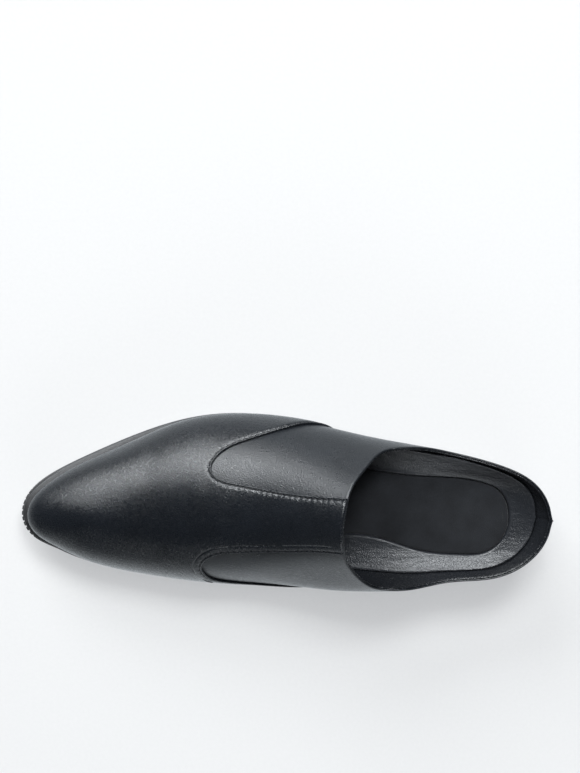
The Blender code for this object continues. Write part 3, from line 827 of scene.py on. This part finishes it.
over_seam, up_seam = np.meshgrid(np.linspace(0, 1, 9), np.linspace(0, 1, 41), indexing="ij")
back_seam_skin = laid_grid(back_seam_place(over_seam, up_seam))
bmesh.ops.recalc_face_normals(back_seam_skin, faces=back_seam_skin.faces)
outer = min(back_seam_skin.faces, key=lambda face: face.calc_center_median().x)
if outer.normal.x > 0:
    bmesh.ops.reverse_faces(back_seam_skin, faces=back_seam_skin.faces)
back_seam = finish_piece("back_seam", back_seam_skin, raw_edge)

# %% [markdown]
# ## The vamp's pattern
# The vamp is one piece of leather: the toe, a strip up the instep and a lower wing on each
# side. It is laid over the quarters and cut away round two bare panels with round noses.
# On a flat pattern of angle and rise, the panel is a slot in a grid. The grid's lines are
# relaxed until they flow round the slot, and a narrow band of finer rows follows the cut
# edge, where the bead, the stitches and the puckers are.

# %% The cut edge
LATERAL, MEDIAL = 0, 1
SIDES = (LATERAL, MEDIAL)
PANELS = (LATERAL_PANEL, MEDIAL_PANEL)
SEAM_BAND = 0.0045        # width of the fine band along the cut edge
STRIP_TRIM = 0.0080       # the strip stops this angle short of the collar, to roll over it
RUN_OUT = 0.006           # the last stretch of the edge, which is led onto the strip's end
DIRECTION_STEP = 0.0006
EDGE_START = 0.002        # the rise at which the cut edge starts


def strip_end_angle(rise, medial):
    """The angle at a rise at which the vamp's strip ends, just short of the collar."""
    upper_half = np.linspace(0.45, 1, 400)
    angle, height = (curve(upper_half) for curve in collar_lines[medial])
    return np.interp(rise, height, angle) + STRIP_TRIM


def trimmed_edge(medial):
    """Length, angle and rise of points of the cut edge, from the feather line to the collar."""
    rows = PANELS[medial]
    angle_along, rise_along = spread(angle_of(column(rows, 0)), column(rows, 1))
    t = np.linspace(0, 1, 4001)
    angle, rise = angle_along(t), rise_along(t)
    first = int(np.argmax(rise > EDGE_START))
    last = int(np.argmax((t > 0.5) & (angle < strip_end_angle(rise, medial))))
    angle, rise = angle[first:last + 1], rise[first:last + 1]
    return skin_length(angle, rise, medial), angle, rise


def beside(angle, rise, run_angle, run_rise, distance, medial):
    """Steps from points of a line on the skin squarely to its left, staying on the skin."""
    step = 1e-4
    rise = np.clip(rise, 0.004, 0.996)

    def point(a, r):
        return last_point(on_side(a, medial), r)

    by_angle = (point(angle + step, rise) - point(angle - step, rise)) / (2 * step)
    by_rise = (point(angle, rise + step) - point(angle, rise - step)) / (2 * step)
    run = unit(by_angle * run_angle[:, None] + by_rise * run_rise[:, None])
    square = unit(np.cross(unit(np.cross(by_angle, by_rise)), run))
    aa, ab, bb = (np.sum(p * q, -1) for p, q in
                  ((by_angle, by_angle), (by_angle, by_rise), (by_rise, by_rise)))
    a, b = np.sum(by_angle * square, -1), np.sum(by_rise * square, -1)
    det = aa * bb - ab * ab
    return (angle + distance * (bb * a - ab * b) / det,
            np.clip(rise + distance * (aa * b - ab * a) / det, 0, 1))


def edge_at(medial, length):
    """Angle, rise and direction of the cut edge of a side at lengths along it."""
    along_it, angle, rise = cut_edges[medial]
    ahead, behind = length + DIRECTION_STEP, length - DIRECTION_STEP
    run_angle = np.interp(ahead, along_it, angle) - np.interp(behind, along_it, angle)
    run_rise = np.interp(ahead, along_it, rise) - np.interp(behind, along_it, rise)
    return np.interp(length, along_it, angle), np.interp(length, along_it, rise), run_angle, run_rise


def off_edge(medial, length, distance):
    """Angle and rise at a distance off the cut edge, on the vamp's side of it."""
    angle, rise = beside(*edge_at(medial, length), -distance, medial)
    near = smooth_step((length - (cut_edges[medial][0][-1] - RUN_OUT)) / RUN_OUT)
    return angle + (strip_end_angle(rise, medial) - angle) * near, rise


def nose_tip(medial):
    """The length along the cut edge at which it turns round the panel's nose."""
    length, angle, _ = cut_edges[medial]
    return length[int(np.argmax(angle))]


cut_edges = [trimmed_edge(medial) for medial in SIDES]
print("cut edges:", [round(length[-1] * 1000) for length, _, _ in cut_edges], "mm")


# %% Relaxing the pattern
WING_ROWS, NOSE_ROWS, STRIP_ROWS = 20, 30, 16
SLOT_COLUMNS, TOE_COLUMNS = 150, 90
NOSE_SPAN = 0.009         # from the tip of the nose to where it turns into the sides
RELAX_STEPS = 3000
FOOT_NOSE, RIDGE_NOSE = 0.600, 0.660      # stations beside the nose, at the sole and on the ridge
BOTTOM_LEAD = 0.004       # the wing's lower end is this angle behind the cut edge

SLOT_TOP = WING_ROWS + NOSE_ROWS
ALL_ROWS = SLOT_TOP + STRIP_ROWS
ALL_COLUMNS = SLOT_COLUMNS + TOE_COLUMNS


def edge_stops(medial):
    """Lengths along the cut edge at which the grid's columns and rows meet it."""
    tip, total = nose_tip(medial), cut_edges[medial][0][-1]
    lower = np.linspace(0, tip - NOSE_SPAN, SLOT_COLUMNS + 1)
    nose = np.linspace(tip - NOSE_SPAN, tip + NOSE_SPAN, NOSE_ROWS + 1)
    upper = np.linspace(tip + NOSE_SPAN, total, SLOT_COLUMNS + 1)
    return np.concatenate([lower, nose[1:], upper[1:]])


def long_border(start, nose_station, rise):
    """The pattern's border at the sole or on the ridge, from the collar to the toe."""
    nose = float(angle_of(nose_station))
    angle = np.concatenate([np.linspace(start, nose, SLOT_COLUMNS + 1),
                            np.linspace(nose, math.pi, TOE_COLUMNS + 1)[1:]])
    return np.stack([angle, np.full_like(angle, rise)], -1)


def filled(first, last, count):
    """Lines evenly spread from one line of the pattern to another."""
    t = np.linspace(0, 1, count + 1)[:, None, None]
    return first * (1 - t) + last * t


def relaxed_pattern(medial):
    """Angle and rise of the vamp's grid on one side, its lines flowing round the slot."""
    stops = edge_stops(medial)
    rim = np.stack(off_edge(medial, stops, SEAM_BAND), -1)
    lower, nose = rim[:SLOT_COLUMNS + 1], rim[SLOT_COLUMNS:SLOT_COLUMNS + NOSE_ROWS + 1]
    upper = rim[SLOT_COLUMNS + NOSE_ROWS:][::-1]
    bottom = long_border(lower[0, 0] - BOTTOM_LEAD, FOOT_NOSE, 0.0)
    top = long_border(THROAT_ANGLE + STRIP_TRIM, RIDGE_NOSE, 1.0)
    end_rises = np.linspace(upper[0, 1], 1, STRIP_ROWS + 1)
    toe = np.stack([np.full(ALL_ROWS + 1, math.pi), np.linspace(0, 1, ALL_ROWS + 1)], -1)

    pattern = np.zeros((ALL_COLUMNS + 1, ALL_ROWS + 1, 2))
    behind = slice(SLOT_COLUMNS + 1)
    pattern[behind, :WING_ROWS + 1] = filled(bottom[behind], lower, WING_ROWS).swapaxes(0, 1)
    pattern[behind, SLOT_TOP:] = filled(upper, top[behind], STRIP_ROWS).swapaxes(0, 1)
    pattern[0, SLOT_TOP:] = np.stack([strip_end_angle(end_rises, medial), end_rises], -1)
    pattern[SLOT_COLUMNS, WING_ROWS:SLOT_TOP + 1] = nose
    pattern[SLOT_COLUMNS:] = filled(pattern[SLOT_COLUMNS], toe, TOE_COLUMNS)
    pattern[:, 0], pattern[:, -1] = bottom, top

    free = np.zeros(pattern.shape[:2], bool)
    free[1:-1, 1:-1] = True
    free[behind, WING_ROWS:SLOT_TOP + 1] = False
    for _ in range(RELAX_STEPS):
        mean = (np.roll(pattern, 1, 0) + np.roll(pattern, -1, 0)
                + np.roll(pattern, 1, 1) + np.roll(pattern, -1, 1)) / 4
        pattern[free] = mean[free]
    return pattern, stops


patterns = [relaxed_pattern(medial) for medial in SIDES]
print("pattern:", ALL_COLUMNS, "columns,", ALL_ROWS, "rows a side")

# %% The vamp's thickness, bead and puckers
VAMP_TOP = GAP + VAMP_THICKNESS
SEAM_DISTANCE = 0.0010    # from the cut edge to the stitches
SEAM_PITCH = 0.0034
PUCKER_DEPTH = 0.00024
SOFT_PUCKER = 0.3         # share of that depth away from the outer seam of the strip
PUCKER_MIDDLE, PUCKER_WIDTH = 0.0017, 0.0009
PULL_START, PULL_REACH = 0.004, 0.008     # past the nose, where the thread pulls harder
EDGE_PROFILE = [
    # distance from the cut edge, height over the quarter, in mm
    (0.06, -0.20), (-0.05, 0.20), (-0.13, 0.58), (-0.11, 0.96), (0.02, 1.25), (0.22, 1.42),
    (0.46, 1.43), (0.66, 1.27), (0.84, 1.06), (1.00, 0.98), (1.16, 1.05), (1.36, 1.22),
    (1.62, 1.37), (1.95, 1.47), (2.35, 1.53), (2.90, 1.57), (3.60, 1.60), (4.50, 1.60),
]


def seam_height(medial, length, distance, height):
    """Height of the band, dipping where the needle went through."""
    near = np.exp(-((distance - PUCKER_MIDDLE) / PUCKER_WIDTH) ** 2)
    dip = (0.5 + 0.5 * np.cos(2 * math.pi * length / SEAM_PITCH)) ** 2
    pull = smooth_step((length - nose_tip(medial) - PULL_START) / PULL_REACH) * (medial == LATERAL)
    return height - PUCKER_DEPTH * (SOFT_PUCKER + (1 - SOFT_PUCKER) * pull) * near * dip


# %% [markdown]
# ### Soft creases
# New leather is never quite even. It is drawn in a little beside a seam, and there is a
# first trace of a fold across the toes. Each crease is listed one by one: where it starts,
# where it ends, how wide and how deep it is. A noise would put them in places where a last
# doesn't pull.

# %% Creases
SKIVED = 0.0011           # how much thinner the vamp is where it tucks in under the last
SKIVE_RISE = 0.16         # from this rise up it has its full thickness
CREASES = [
    # medial side, start (station, rise), end (station, rise), width and depth in mm
    (0, (0.600, 0.815), (0.622, 0.990), 5.0, 0.20), (1, (0.632, 0.760), (0.618, 0.990), 5.0, 0.18),
    (0, (0.655, 0.500), (0.668, 0.780), 4.5, 0.16), (0, (0.425, 0.850), (0.462, 0.905), 3.2, 0.10),
    (0, (0.478, 0.852), (0.530, 0.935), 4.2, 0.12), (1, (0.540, 0.790), (0.580, 0.880), 4.0, 0.10),
    (0, (0.760, 0.420), (0.795, 0.620), 5.0, 0.18), (1, (0.740, 0.520), (0.770, 0.700), 5.0, 0.16),
]


def creased(angle, rise, medial):
    """How deep the creases are at points of one side of the skin."""
    points = last_point(on_side(angle, medial), rise)
    depth = np.zeros(points.shape[:-1])
    for side, start, end, width, deep in CREASES:
        first, last = (last_point(on_side(angle_of(s), side), r) for s, r in (start, end))
        line = last - first
        share = np.clip((points - first) @ line / (line @ line), 0, 1)
        apart = np.linalg.norm(points - first - share[..., None] * line, axis=-1)
        depth += deep / 1000 * np.exp(-(apart / (width / 1000)) ** 2)
    return depth


def crease_height(angle, rise, medial):
    """What the vamp's surface adds to its thickness: thin at the sole, softly creased above."""
    return -SKIVED * (1 - smooth_step(rise / SKIVE_RISE)) - creased(angle, rise, medial)


# %% The vamp's two skins a side
def vamp_body(medial):
    """The grid of one side without its slot."""
    pattern = patterns[medial][0]
    angle, rise = pattern[..., 0], pattern[..., 1]
    height = VAMP_TOP + crease_height(angle, rise, medial)
    table = raised(on_side(angle, medial), rise, height)
    return laid_grid(table, lambda column, row: column < SLOT_COLUMNS and WING_ROWS < row < SLOT_TOP)


def seam_nodes(medial):
    """Angle, rise and height of the fine band: one row of stops for each profile step."""
    stops = patterns[medial][1]
    rows = []
    for distance, height in EDGE_PROFILE:
        angle, rise = off_edge(medial, stops, distance / 1000)
        high = seam_height(medial, stops, distance / 1000, height / 1000)
        high = high + crease_height(angle, rise, medial)
        rows.append((on_side(angle, medial), rise, high))
    angle, rise, high = (np.stack(part, 1) for part in zip(*rows))
    high[:, -1] = VAMP_TOP + crease_height(angle[:, -1], rise[:, -1], medial)
    return angle, rise, high


def seam_band(medial):
    return laid_grid(raised(*seam_nodes(medial)))


# %% The strip's end
FOLD_DEPTH = 0.0011       # the fold ends this deep inside the quarters' skin
FOLD_REACH = 0.0014
FOLD_STEPS = 10
FOLD_TAIL = 0.002
RISE_STEP = 0.004


def strip_end_run(angle, rise):
    """The direction of the strip's end at one of its points."""
    medial = bool(angle > math.pi)
    below, above = (last_point(on_side(strip_end_angle(r, medial), medial), r)
                    for r in (min(rise - RISE_STEP, 0.992), min(rise + RISE_STEP, 1.0)))
    return above - below


def throat_fold():
    """The strip's end, rolled over the collar from one cut edge to the other."""
    chain = []
    for medial in SIDES:
        band = [part[-1] for part in seam_nodes(medial)]
        angle, rise = patterns[medial][0][0, SLOT_TOP:].T
        body = on_side(angle, medial), rise, VAMP_TOP + crease_height(angle, rise, medial)
        rows = [np.concatenate([a, b[1:]]) for a, b in zip(band, body)]
        chain.append([row[::-1][1:] if medial else row for row in rows])
    angle, rise, high = (np.concatenate(parts) for parts in zip(*chain))
    edge, normal = last_point(angle, rise), skin_normal(angle, rise)
    out = way_off(edge, normal, np.array([strip_end_run(a, r) for a, r in zip(angle, rise)]))
    radius = (high + FOLD_DEPTH) / 2
    reach = FOLD_REACH * radius / radius.max()
    rows = [edge + normal * (radius * math.cos(t) + radius - FOLD_DEPTH)[:, None]
            + out * (reach * math.sin(t))[:, None] for t in np.linspace(0, math.pi, FOLD_STEPS)]
    return laid_grid(np.stack(rows + [rows[-1] - out * FOLD_TAIL], 1))


# %% Vamp
VAMP_WELD = 5e-6
FLESH_SIDE = 0.0004


def joined(*skins):
    """Several skins in one bmesh."""
    whole = bmesh.new()
    for skin in skins:
        mesh = bpy.data.meshes.new("part")
        skin.to_mesh(mesh)
        skin.free()
        whole.from_mesh(mesh)
        bpy.data.meshes.remove(mesh)
    return whole


vamp_sides = [make(medial) for medial in SIDES for make in (vamp_body, seam_band)]
vamp_skin = joined(*vamp_sides, throat_fold())
bmesh.ops.remove_doubles(vamp_skin, verts=vamp_skin.verts, dist=VAMP_WELD)
face_outwards(vamp_skin)
vamp = finish_piece("stitched_vamp", vamp_skin, vamp_calf_painted_shade)
backing = vamp.modifiers.new("flesh side", "SOLIDIFY")
backing.thickness = FLESH_SIDE
backing.offset = -1
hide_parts("vamp")

# %% [markdown]
# ## Stitches
# The vamp is sewn down with waxed thread, one stitch every 3.4 mm. Each stitch is a small
# rounded bar whose ends sink into the leather. A few dozen faces each are enough, because
# there are so many of them. The collar's fold is held from inside, so no row shows there.

# %% Stitches
STITCH_WIDTH = 0.00062
STITCH_SHARE = 0.82       # a stitch's length as a share of the pitch
STITCH_HEIGHT = 0.0011    # its middle over the quarters
STITCH_AHEAD = 0.0005     # how far ahead along the seam its direction is read


def add_stitch(thread_mesh, place, run, normal):
    side = np.cross(normal, run)
    turned = Matrix(np.stack([run, side, normal], 1).tolist()).to_4x4()
    size = Matrix.Diagonal((SEAM_PITCH * STITCH_SHARE / 2, STITCH_WIDTH / 2, STITCH_WIDTH / 2, 1))
    bmesh.ops.create_uvsphere(thread_mesh, u_segments=8, v_segments=6, radius=1,
                              matrix=Matrix.Translation(place) @ turned @ size)


def seam_stitches(medial):
    """Place, direction and normal of each stitch of a side."""
    middles = np.arange(SEAM_PITCH / 2, cut_edges[medial][0][-1] - SEAM_PITCH, SEAM_PITCH)
    angle, rise = off_edge(medial, middles, SEAM_DISTANCE)
    next_angle, next_rise = off_edge(medial, middles + STITCH_AHEAD, SEAM_DISTANCE)
    height = STITCH_HEIGHT + crease_height(angle, rise, medial)
    angle, next_angle = on_side(angle, medial), on_side(next_angle, medial)
    run = unit(last_point(next_angle, next_rise) - last_point(angle, rise))
    return raised(angle, rise, height), run, skin_normal(angle, rise)


stitch_skin = bmesh.new()
for medial in SIDES:
    for place, run, normal in zip(*seam_stitches(medial)):
        add_stitch(stitch_skin, place, run, normal)
vamp_stitches = finish_piece("vamp_stitches", stitch_skin, thread)

# %% [markdown]
# ## The footbed
# The footbed is a board covered in soft calf. Its border curls up against the wall like a
# saucer, and the suede sock lies in the hollow.

# %% Footbed
def inner_wall(height, depth):
    """A ring this deep inside the upper's wall, at a height over the feather line."""
    def ring(turns):
        rise = rise_at_height(turns, height)
        place = raised(turns, rise, -depth * np.ones_like(turns))
        place[:, :2] -= outward(turns) * wall_inward(turns, height * np.ones_like(turns))[:, None]
        return place
    return ring


def sock_ring(grow, height):
    """The sock's outline, grown by a distance, at a height over the feather line."""
    def plan(turns):
        reach = LAST_LENGTH - SOCK_BACK_INSET - SOCK_TOE_INSET
        x = LAST_BACK + SOCK_BACK_INSET + reach * station_at(turns)
        return np.stack([x, AXIS_Y + BALL_WIDTH * sock_side(turns)], -1)

    def ring(turns):
        place = plan(turns) + plan_normal(plan, turns) * grow
        return np.concatenate([place, (feather_height(place[:, 0]) + height)[:, None]], -1)

    return ring


def shrunk_ring(ring, share, lift=0.0):
    """A ring drawn in sideways towards the middle line, to close a face in quads."""
    def drawn(turns):
        points = ring(turns)
        middle = (points + ring(2 * math.pi - turns)) / 2
        inner = middle + (points - middle) * share
        inner[:, 2] += lift * (1 - share ** 2)
        return inner
    return drawn


def stacked(name, rings, turns, material, smooth_angle=None):
    """A piece made of a stack of rings, closed at its bottom and top."""
    return finish_piece(name, face_outwards(ringed(rings, turns)), material, smooth_angle)


WALL_GAP = UPPER_WALL + GAP
CUP = INSOLE_THICKNESS * 0.72             # the hollow's height over the feather line
SOCK_SINK = 0.6           # share of the sock's thickness that is let into the footbed
RING_COLUMNS = 360
BORDER_ROWS = 18
BOARD_LIFT = 0.0008       # the footbed's underside over the feather line
CLOSING = (0.9, 0.5, 0.0)                 # shares of a ring that close the face inside it
SAUCER = 1.25             # above 1, the border is steeper at the wall than at the sock
BORDER_LIP = [
    # angle round the shoe, height of the border's lip over the feather line, in mm
    (0.00, 6.6), (0.35, 9.0), (0.70, 11.4), (1.20, 11.6), (1.60, 9.5), (3.14, 6.0), (4.68, 7.0),
    (5.38, 6.6), (5.88, 6.2),
]
turns_round = all_round(RING_COLUMNS)
border_curve = smooth_curve(column(BORDER_LIP, 0), column(BORDER_LIP, 1), period=2 * math.pi)


def border_height(turns):
    """The border climbs higher up the outer side's wall than up the inner side's."""
    return border_curve(turns) / 1000


def border_wall(depth, drop):
    def ring(turns):
        return inner_wall(border_height(turns) - drop, WALL_GAP + depth)(turns)
    return ring


def saucer_ring(share):
    """A ring of the border, from its lip at the wall (0) to the sock (1)."""
    def ring(turns):
        lip, inner = border_lip(turns), border_inner(turns)
        place = lip * (1 - share) + inner * share
        place[:, 2] = inner[:, 2] + (lip[:, 2] - inner[:, 2]) * (1 - share) ** SAUCER
        return place
    return ring


WELL_EDGE = [
    # growth of the sock's outline, height over the hollow, in mm: the border's rounded inner edge
    (1.4, 1.6), (0.9, 1.4), (0.5, 0.9), (GAP * 1000, 0.2),
]
well_rings = [sock_ring(grow / 1000, CUP + height / 1000) for grow, height in WELL_EDGE]
border_lip = border_wall(0.0007, 0.0001)
border_inner = well_rings[0]
sock_foot = sock_ring(GAP, CUP - SOCK_THICKNESS * SOCK_SINK)
board_edge = inner_wall(BOARD_LIFT, WALL_GAP)
insole_rings = [shrunk_ring(board_edge, share) for share in reversed(CLOSING)]
insole_rings += [board_edge, border_wall(0, 0.0006), border_wall(0.0002, 0.0001)]
insole_rings += [saucer_ring(t) for t in np.linspace(0, 1, BORDER_ROWS)]
insole_rings += well_rings[1:] + [sock_foot]
insole_rings += [shrunk_ring(sock_foot, share) for share in CLOSING]
insole = stacked("footbed", insole_rings, turns_round, footbed_calf)
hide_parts("insole")

# %% [markdown]
# ## The sock
# A soft suede pad lines the middle of the footbed. It is only lightly crowned, with a
# rounded edge.

# %% Sock
SOCK_FLOOR = CUP - SOCK_THICKNESS * SOCK_SINK + GAP
SOCK_CROWN = 0.0002
SOCK_EDGE = [
    # inset from the sock's outline, height over the footbed's hollow, in mm
    (0.0, -0.66), (0.0, -0.40), (0.15, -0.15), (0.5, 0.05), (1.1, 0.18), (2.0, 0.26), (3.2, 0.30),
]
sock_rings = [shrunk_ring(sock_ring(0.0, SOCK_FLOOR), share) for share in reversed(CLOSING)]
sock_rings += [sock_ring(-inset / 1000, CUP + height / 1000) for inset, height in SOCK_EDGE]
sock_rings += [shrunk_ring(sock_rings[-1], share, SOCK_CROWN) for share in np.linspace(0.95, 0, 14)]
sock = stacked("suede_sock", sock_rings, turns_round, sock_suede)
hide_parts("sock")

# %% [markdown]
# ## Welt and outsole
# The welt is a strip of inked leather that shows as a thin band round the upper. The
# outsole stands out a little further, with a fine groove between them, and its edge is
# ribbed round the toe. The ribs are a wave in the grid's own points, so no cutter is
# needed.

# %% Welt
SOLE_COLUMNS = 720
EDGE_ANGLE = 50
WELT_TOE_INSET = 0.0011   # the outsole shows this far beyond the welt at the tip of the toe
WELT_EDGE = [
    # inset in edge steps, share of the welt's thickness
    (2.0, 0.00), (0.9, 0.06), (0.6, 0.20), (0.5, 0.50), (0.6, 0.78), (1.0, 0.93), (1.7, 1.00),
]


def sole_ring(line, surface, thickness):
    """A ring on a line round the sole, at a thickness over a surface."""
    def ring(turns):
        place = outline_point(turns) + outward(turns) * line(turns)[:, None]
        return np.concatenate([place, (surface(place[:, 0]) + thickness)[:, None]], -1)
    return ring


def welt_line(inset):
    """The welt's edge, drawn in a little round the toe."""
    def line(turns):
        toe = smooth_step((station_at(turns) - 0.90) / 0.09)
        return sole_margin(turns) - inset - WELT_TOE_INSET * toe
    return line


def inner_line(turns):
    return np.full(len(turns), -WELT_STRIP_WIDTH)


def welt_bottom(x):
    return outsole_top(x) + GAP


welt_rings = [sole_ring(welt_line(EDGE_STEP * steps), welt_bottom, WELT_THICKNESS * share)
              for steps, share in WELT_EDGE]
welt_rings += [sole_ring(inner_line, welt_bottom, WELT_THICKNESS * share) for share in (1.0, 0.0)]
welt = closed_shell("inked_welt", welt_rings, all_round(SOLE_COLUMNS), welt_edge, EDGE_ANGLE)
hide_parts("welt")

# %% Outsole
TOE_RIB_PITCH = 0.0026
TOE_RIB_DEPTH = 0.0010
TOE_RIB_REACH = 0.0125
TOE_RIB_FADE = 0.002
RIB_BOTTOM = 0.2          # the ribs start at this share of the outsole's thickness
FINE_REACH = 0.022        # the columns are finer this far to both sides of the toe's tip
OUTSOLE_EDGE = [
    # inset in edge steps, share of the outsole's thickness
    (3.0, 0.00), (1.2, 0.03), (0.35, 0.11), (0.0, 0.22), (0.0, 0.50), (0.0, 0.82), (0.2, 0.91),
    (0.7, 0.98), (1.3, 1.00),
]
tip_reach = float(np.linalg.norm(outline_point(math.pi + 1e-3) - outline_point(math.pi)) / 1e-3)


def outsole_line(inset, ribbed):
    """The outsole's edge, which waves in and out round the toe where it is ribbed."""
    def line(turns):
        run = (turns - math.pi) * tip_reach
        fade = smooth_step((TOE_RIB_REACH - np.abs(run)) / TOE_RIB_FADE)
        groove = np.clip(-np.cos(2 * math.pi * run / TOE_RIB_PITCH) * 2.2 - 0.8, 0, 1)
        return sole_margin(turns) - inset - TOE_RIB_DEPTH * groove * fade * ribbed
    return line


fine = np.linspace(-FINE_REACH, FINE_REACH, 221) / tip_reach + math.pi
outsole_turns = np.unique(np.concatenate([
    np.linspace(0, fine[0], 240), fine, np.linspace(fine[-1], 2 * math.pi, 240)]))
outsole_side = [
    sole_ring(outsole_line(EDGE_STEP * steps, share > RIB_BOTTOM), tread_height, OUTSOLE_THICKNESS * share)
    for steps, share in OUTSOLE_EDGE]
outsole_rings = [shrunk_ring(outsole_side[0], share) for share in (0.0, 0.3, 0.6, 0.85, 0.97)]
outsole_rings += outsole_side
outsole_rings += [shrunk_ring(outsole_side[-1], share) for share in (0.97, 0.85, 0.5, 0.0)]
outsole = stacked("rubber_outsole", outsole_rings, outsole_turns, sole_rubber, EDGE_ANGLE)
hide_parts("outsole")

# %% [markdown]
# ## The heel
# The heel is a stack of leather lifts on a rubber top piece. Its front, the breast, curves
# in a little. Both blocks are stacks of rings, with a fine groove for each joint between
# the lifts.

# %% Heel
HEEL_COLUMNS = 240
HEEL_MIDDLE = np.array([-0.112, AXIS_Y])
ROUND_SHARE = 0.8         # share of the columns that go round the back, the rest cross the breast
BREAST_X = LENGTH * (BREAST - 0.5) - 2 * GAP
LIFTS = 4


def heel_edge(angle, inset):
    """A point of the heel's edge, under the sole's widest line."""
    angle = angle % (2 * math.pi)
    return outline_point(angle) + outward(angle) * (sole_margin(angle) - inset)[..., None]


def heel_plan(turns, inset):
    """The plan of the heel: round the back, then across the hollow breast."""
    corner = float(angle_of((BREAST_X - LAST_BACK) / LAST_LENGTH))
    t = turns / (2 * math.pi)
    place = heel_edge(corner * (1 - 2 * np.clip(t / ROUND_SHARE, 0, 1)), inset)
    place[:, 0] = np.minimum(place[:, 0], BREAST_X)
    start, end = (heel_edge(angle, inset)[1] for angle in (-corner, corner))
    across = np.clip((t - ROUND_SHARE) / (1 - ROUND_SHARE), 0, 1)
    breast = np.stack([BREAST_X - BREAST_HOLLOW * np.sin(math.pi * across),
                       start + (end - start) * across], -1)
    return np.where((t > ROUND_SHARE)[:, None], breast, place)


def heel_ring(inset, height, share=1.0):
    def ring(turns):
        place = HEEL_MIDDLE + (heel_plan(turns, inset) - HEEL_MIDDLE) * share
        return np.concatenate([place, np.full((len(place), 1), height)], -1)
    return ring


def heel_rings(bottom, top, inset_bottom, inset_top, lifts, groove, lip):
    """Rings of a tapered block of lifts, with a groove at each joint and eased rims."""
    rings = [heel_ring(inset_bottom + lip, bottom, share) for share in (*reversed(CLOSING), 1.0)]
    height = (top - bottom) / lifts
    for lift in range(lifts):
        for share, cut in ((0.06, groove), (0.14, 0), (0.5, 0), (0.86, 0), (0.94, groove)):
            z = bottom + height * (lift + share)
            inset = inset_bottom + (inset_top - inset_bottom) * (z - bottom) / (top - bottom)
            rings.append(heel_ring(inset + cut, z))
    return rings + [heel_ring(inset_top + lip, top, share) for share in (1.0, *CLOSING)]


block_rings = heel_rings(TOP_PIECE_THICKNESS + GAP, HEEL_HEIGHT - GAP, EDGE_STEP + HEEL_TAPER * 0.9,
                         EDGE_STEP, LIFTS, groove=0.00018, lip=0.0004)
heel_block = stacked("stacked_heel", block_rings, all_round(HEEL_COLUMNS), heel_stack, EDGE_ANGLE)
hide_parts("heel_block")

piece_rings = heel_rings(0.0, TOP_PIECE_THICKNESS, EDGE_STEP + HEEL_TAPER,
                         EDGE_STEP + HEEL_TAPER * 0.8, 1, groove=0.00012, lip=0.0006)
heel_piece = stacked("heel_lift", piece_rings, all_round(HEEL_COLUMNS), sole_rubber, EDGE_ANGLE)
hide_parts("heel_top_piece")

# %% [markdown]
# ## Floor and light
# The shoe stands on a plain pale floor under large soft lights, as in a small studio.

# %% Floor
FLOOR_REACH = 3.0
PAPER_GLOW = 0.46

floor_skin = bmesh.new()
bmesh.ops.create_grid(floor_skin, x_segments=1, y_segments=1, size=FLOOR_REACH)
floor_mesh = bpy.data.meshes.new("studio_floor")
floor_skin.to_mesh(floor_mesh)
floor_skin.free()
floor = bpy.data.objects.new("studio_floor", floor_mesh)
paper = Finish("pale_paper")
fibre = paper.noise(0.002, detail=3)
paper.set(Roughness=0.9, Specular_IOR_Level=0.2, Emission_Color=(0.95, 0.97, 1.0),
          Emission_Strength=PAPER_GLOW)
paper.wire(Base_Color=paper.ramp(fibre, (0.3, (0.25, 0.247, 0.242)), (0.7, (0.265, 0.262, 0.257))))
floor_mesh.materials.append(paper.material)
bpy.context.scene.collection.objects.link(floor)
floor.visible_glossy = False

# %% Lights
DAYLIGHT = (0.94, 0.975, 1.0)


def soft_light(name, place, target, size, power, colour=(1.0, 1.0, 1.0)):
    lamp = bpy.data.lights.new(name, "AREA")
    lamp.shape = "RECTANGLE"
    lamp.size, lamp.size_y = size
    lamp.energy = power
    lamp.color = colour
    thing = bpy.data.objects.new(name, lamp)
    thing.location = place
    thing.rotation_euler = (Vector(target) - Vector(place)).to_track_quat("-Z", "Y").to_euler()
    bpy.context.scene.collection.objects.link(thing)
    return thing


soft_light("key", (1.50, -3.60, 2.10), (0.0, 0.0, 0.04), (2.6, 1.9), 255, DAYLIGHT)
soft_light("back", (-0.30, -1.25, 1.90), (-0.08, 0.0, 0.03), (0.8, 0.6), 56, DAYLIGHT)
soft_light("fill", (-0.4, 1.9, 0.9), (0.0, 0.0, 0.03), (1.6, 0.6), 13, (0.93, 0.97, 1.0))
table_light = soft_light("table", (0.0, -0.7, 2.0), (0.0, 0.0, 0.0), (1.2, 1.2), 22)
table_light.visible_glossy = False

# %% [markdown]
# ### The room
# Polished leather mirrors the room more than it shows its own colour. So the world is a
# ramp over the height of a direction: bright paper below, grey walls, a dark ceiling.

# %% World
world = bpy.data.worlds.new("studio")
world.use_nodes = True
sky = world.node_tree
direction = sky.nodes.new("ShaderNodeTexCoord").outputs["Generated"]
split = sky.nodes.new("ShaderNodeSeparateXYZ")
sky.links.new(direction, split.inputs[0])
level = sky.nodes.new("ShaderNodeMath")
level.operation = "MULTIPLY_ADD"
level.inputs[1].default_value = level.inputs[2].default_value = 0.5
sky.links.new(split.outputs["Z"], level.inputs[0])
glow = sky.nodes.new("ShaderNodeValToRGB")
sky.links.new(level.outputs[0], glow.inputs[0])
ground, ceiling = glow.color_ramp.elements
ground.position, ground.color = 0.22, (1.10, 1.18, 1.24, 1)
ceiling.position, ceiling.color = 0.85, (0.018, 0.020, 0.022, 1)
for height, tone in ((0.44, (0.36, 0.39, 0.42, 1)), (0.53, (0.095, 0.102, 0.114, 1))):
    glow.color_ramp.elements.new(height).color = tone
sky.links.new(glow.outputs[0], sky.nodes["Background"].inputs["Color"])
bpy.context.scene.world = world
bpy.context.scene.view_settings.view_transform = "Standard"
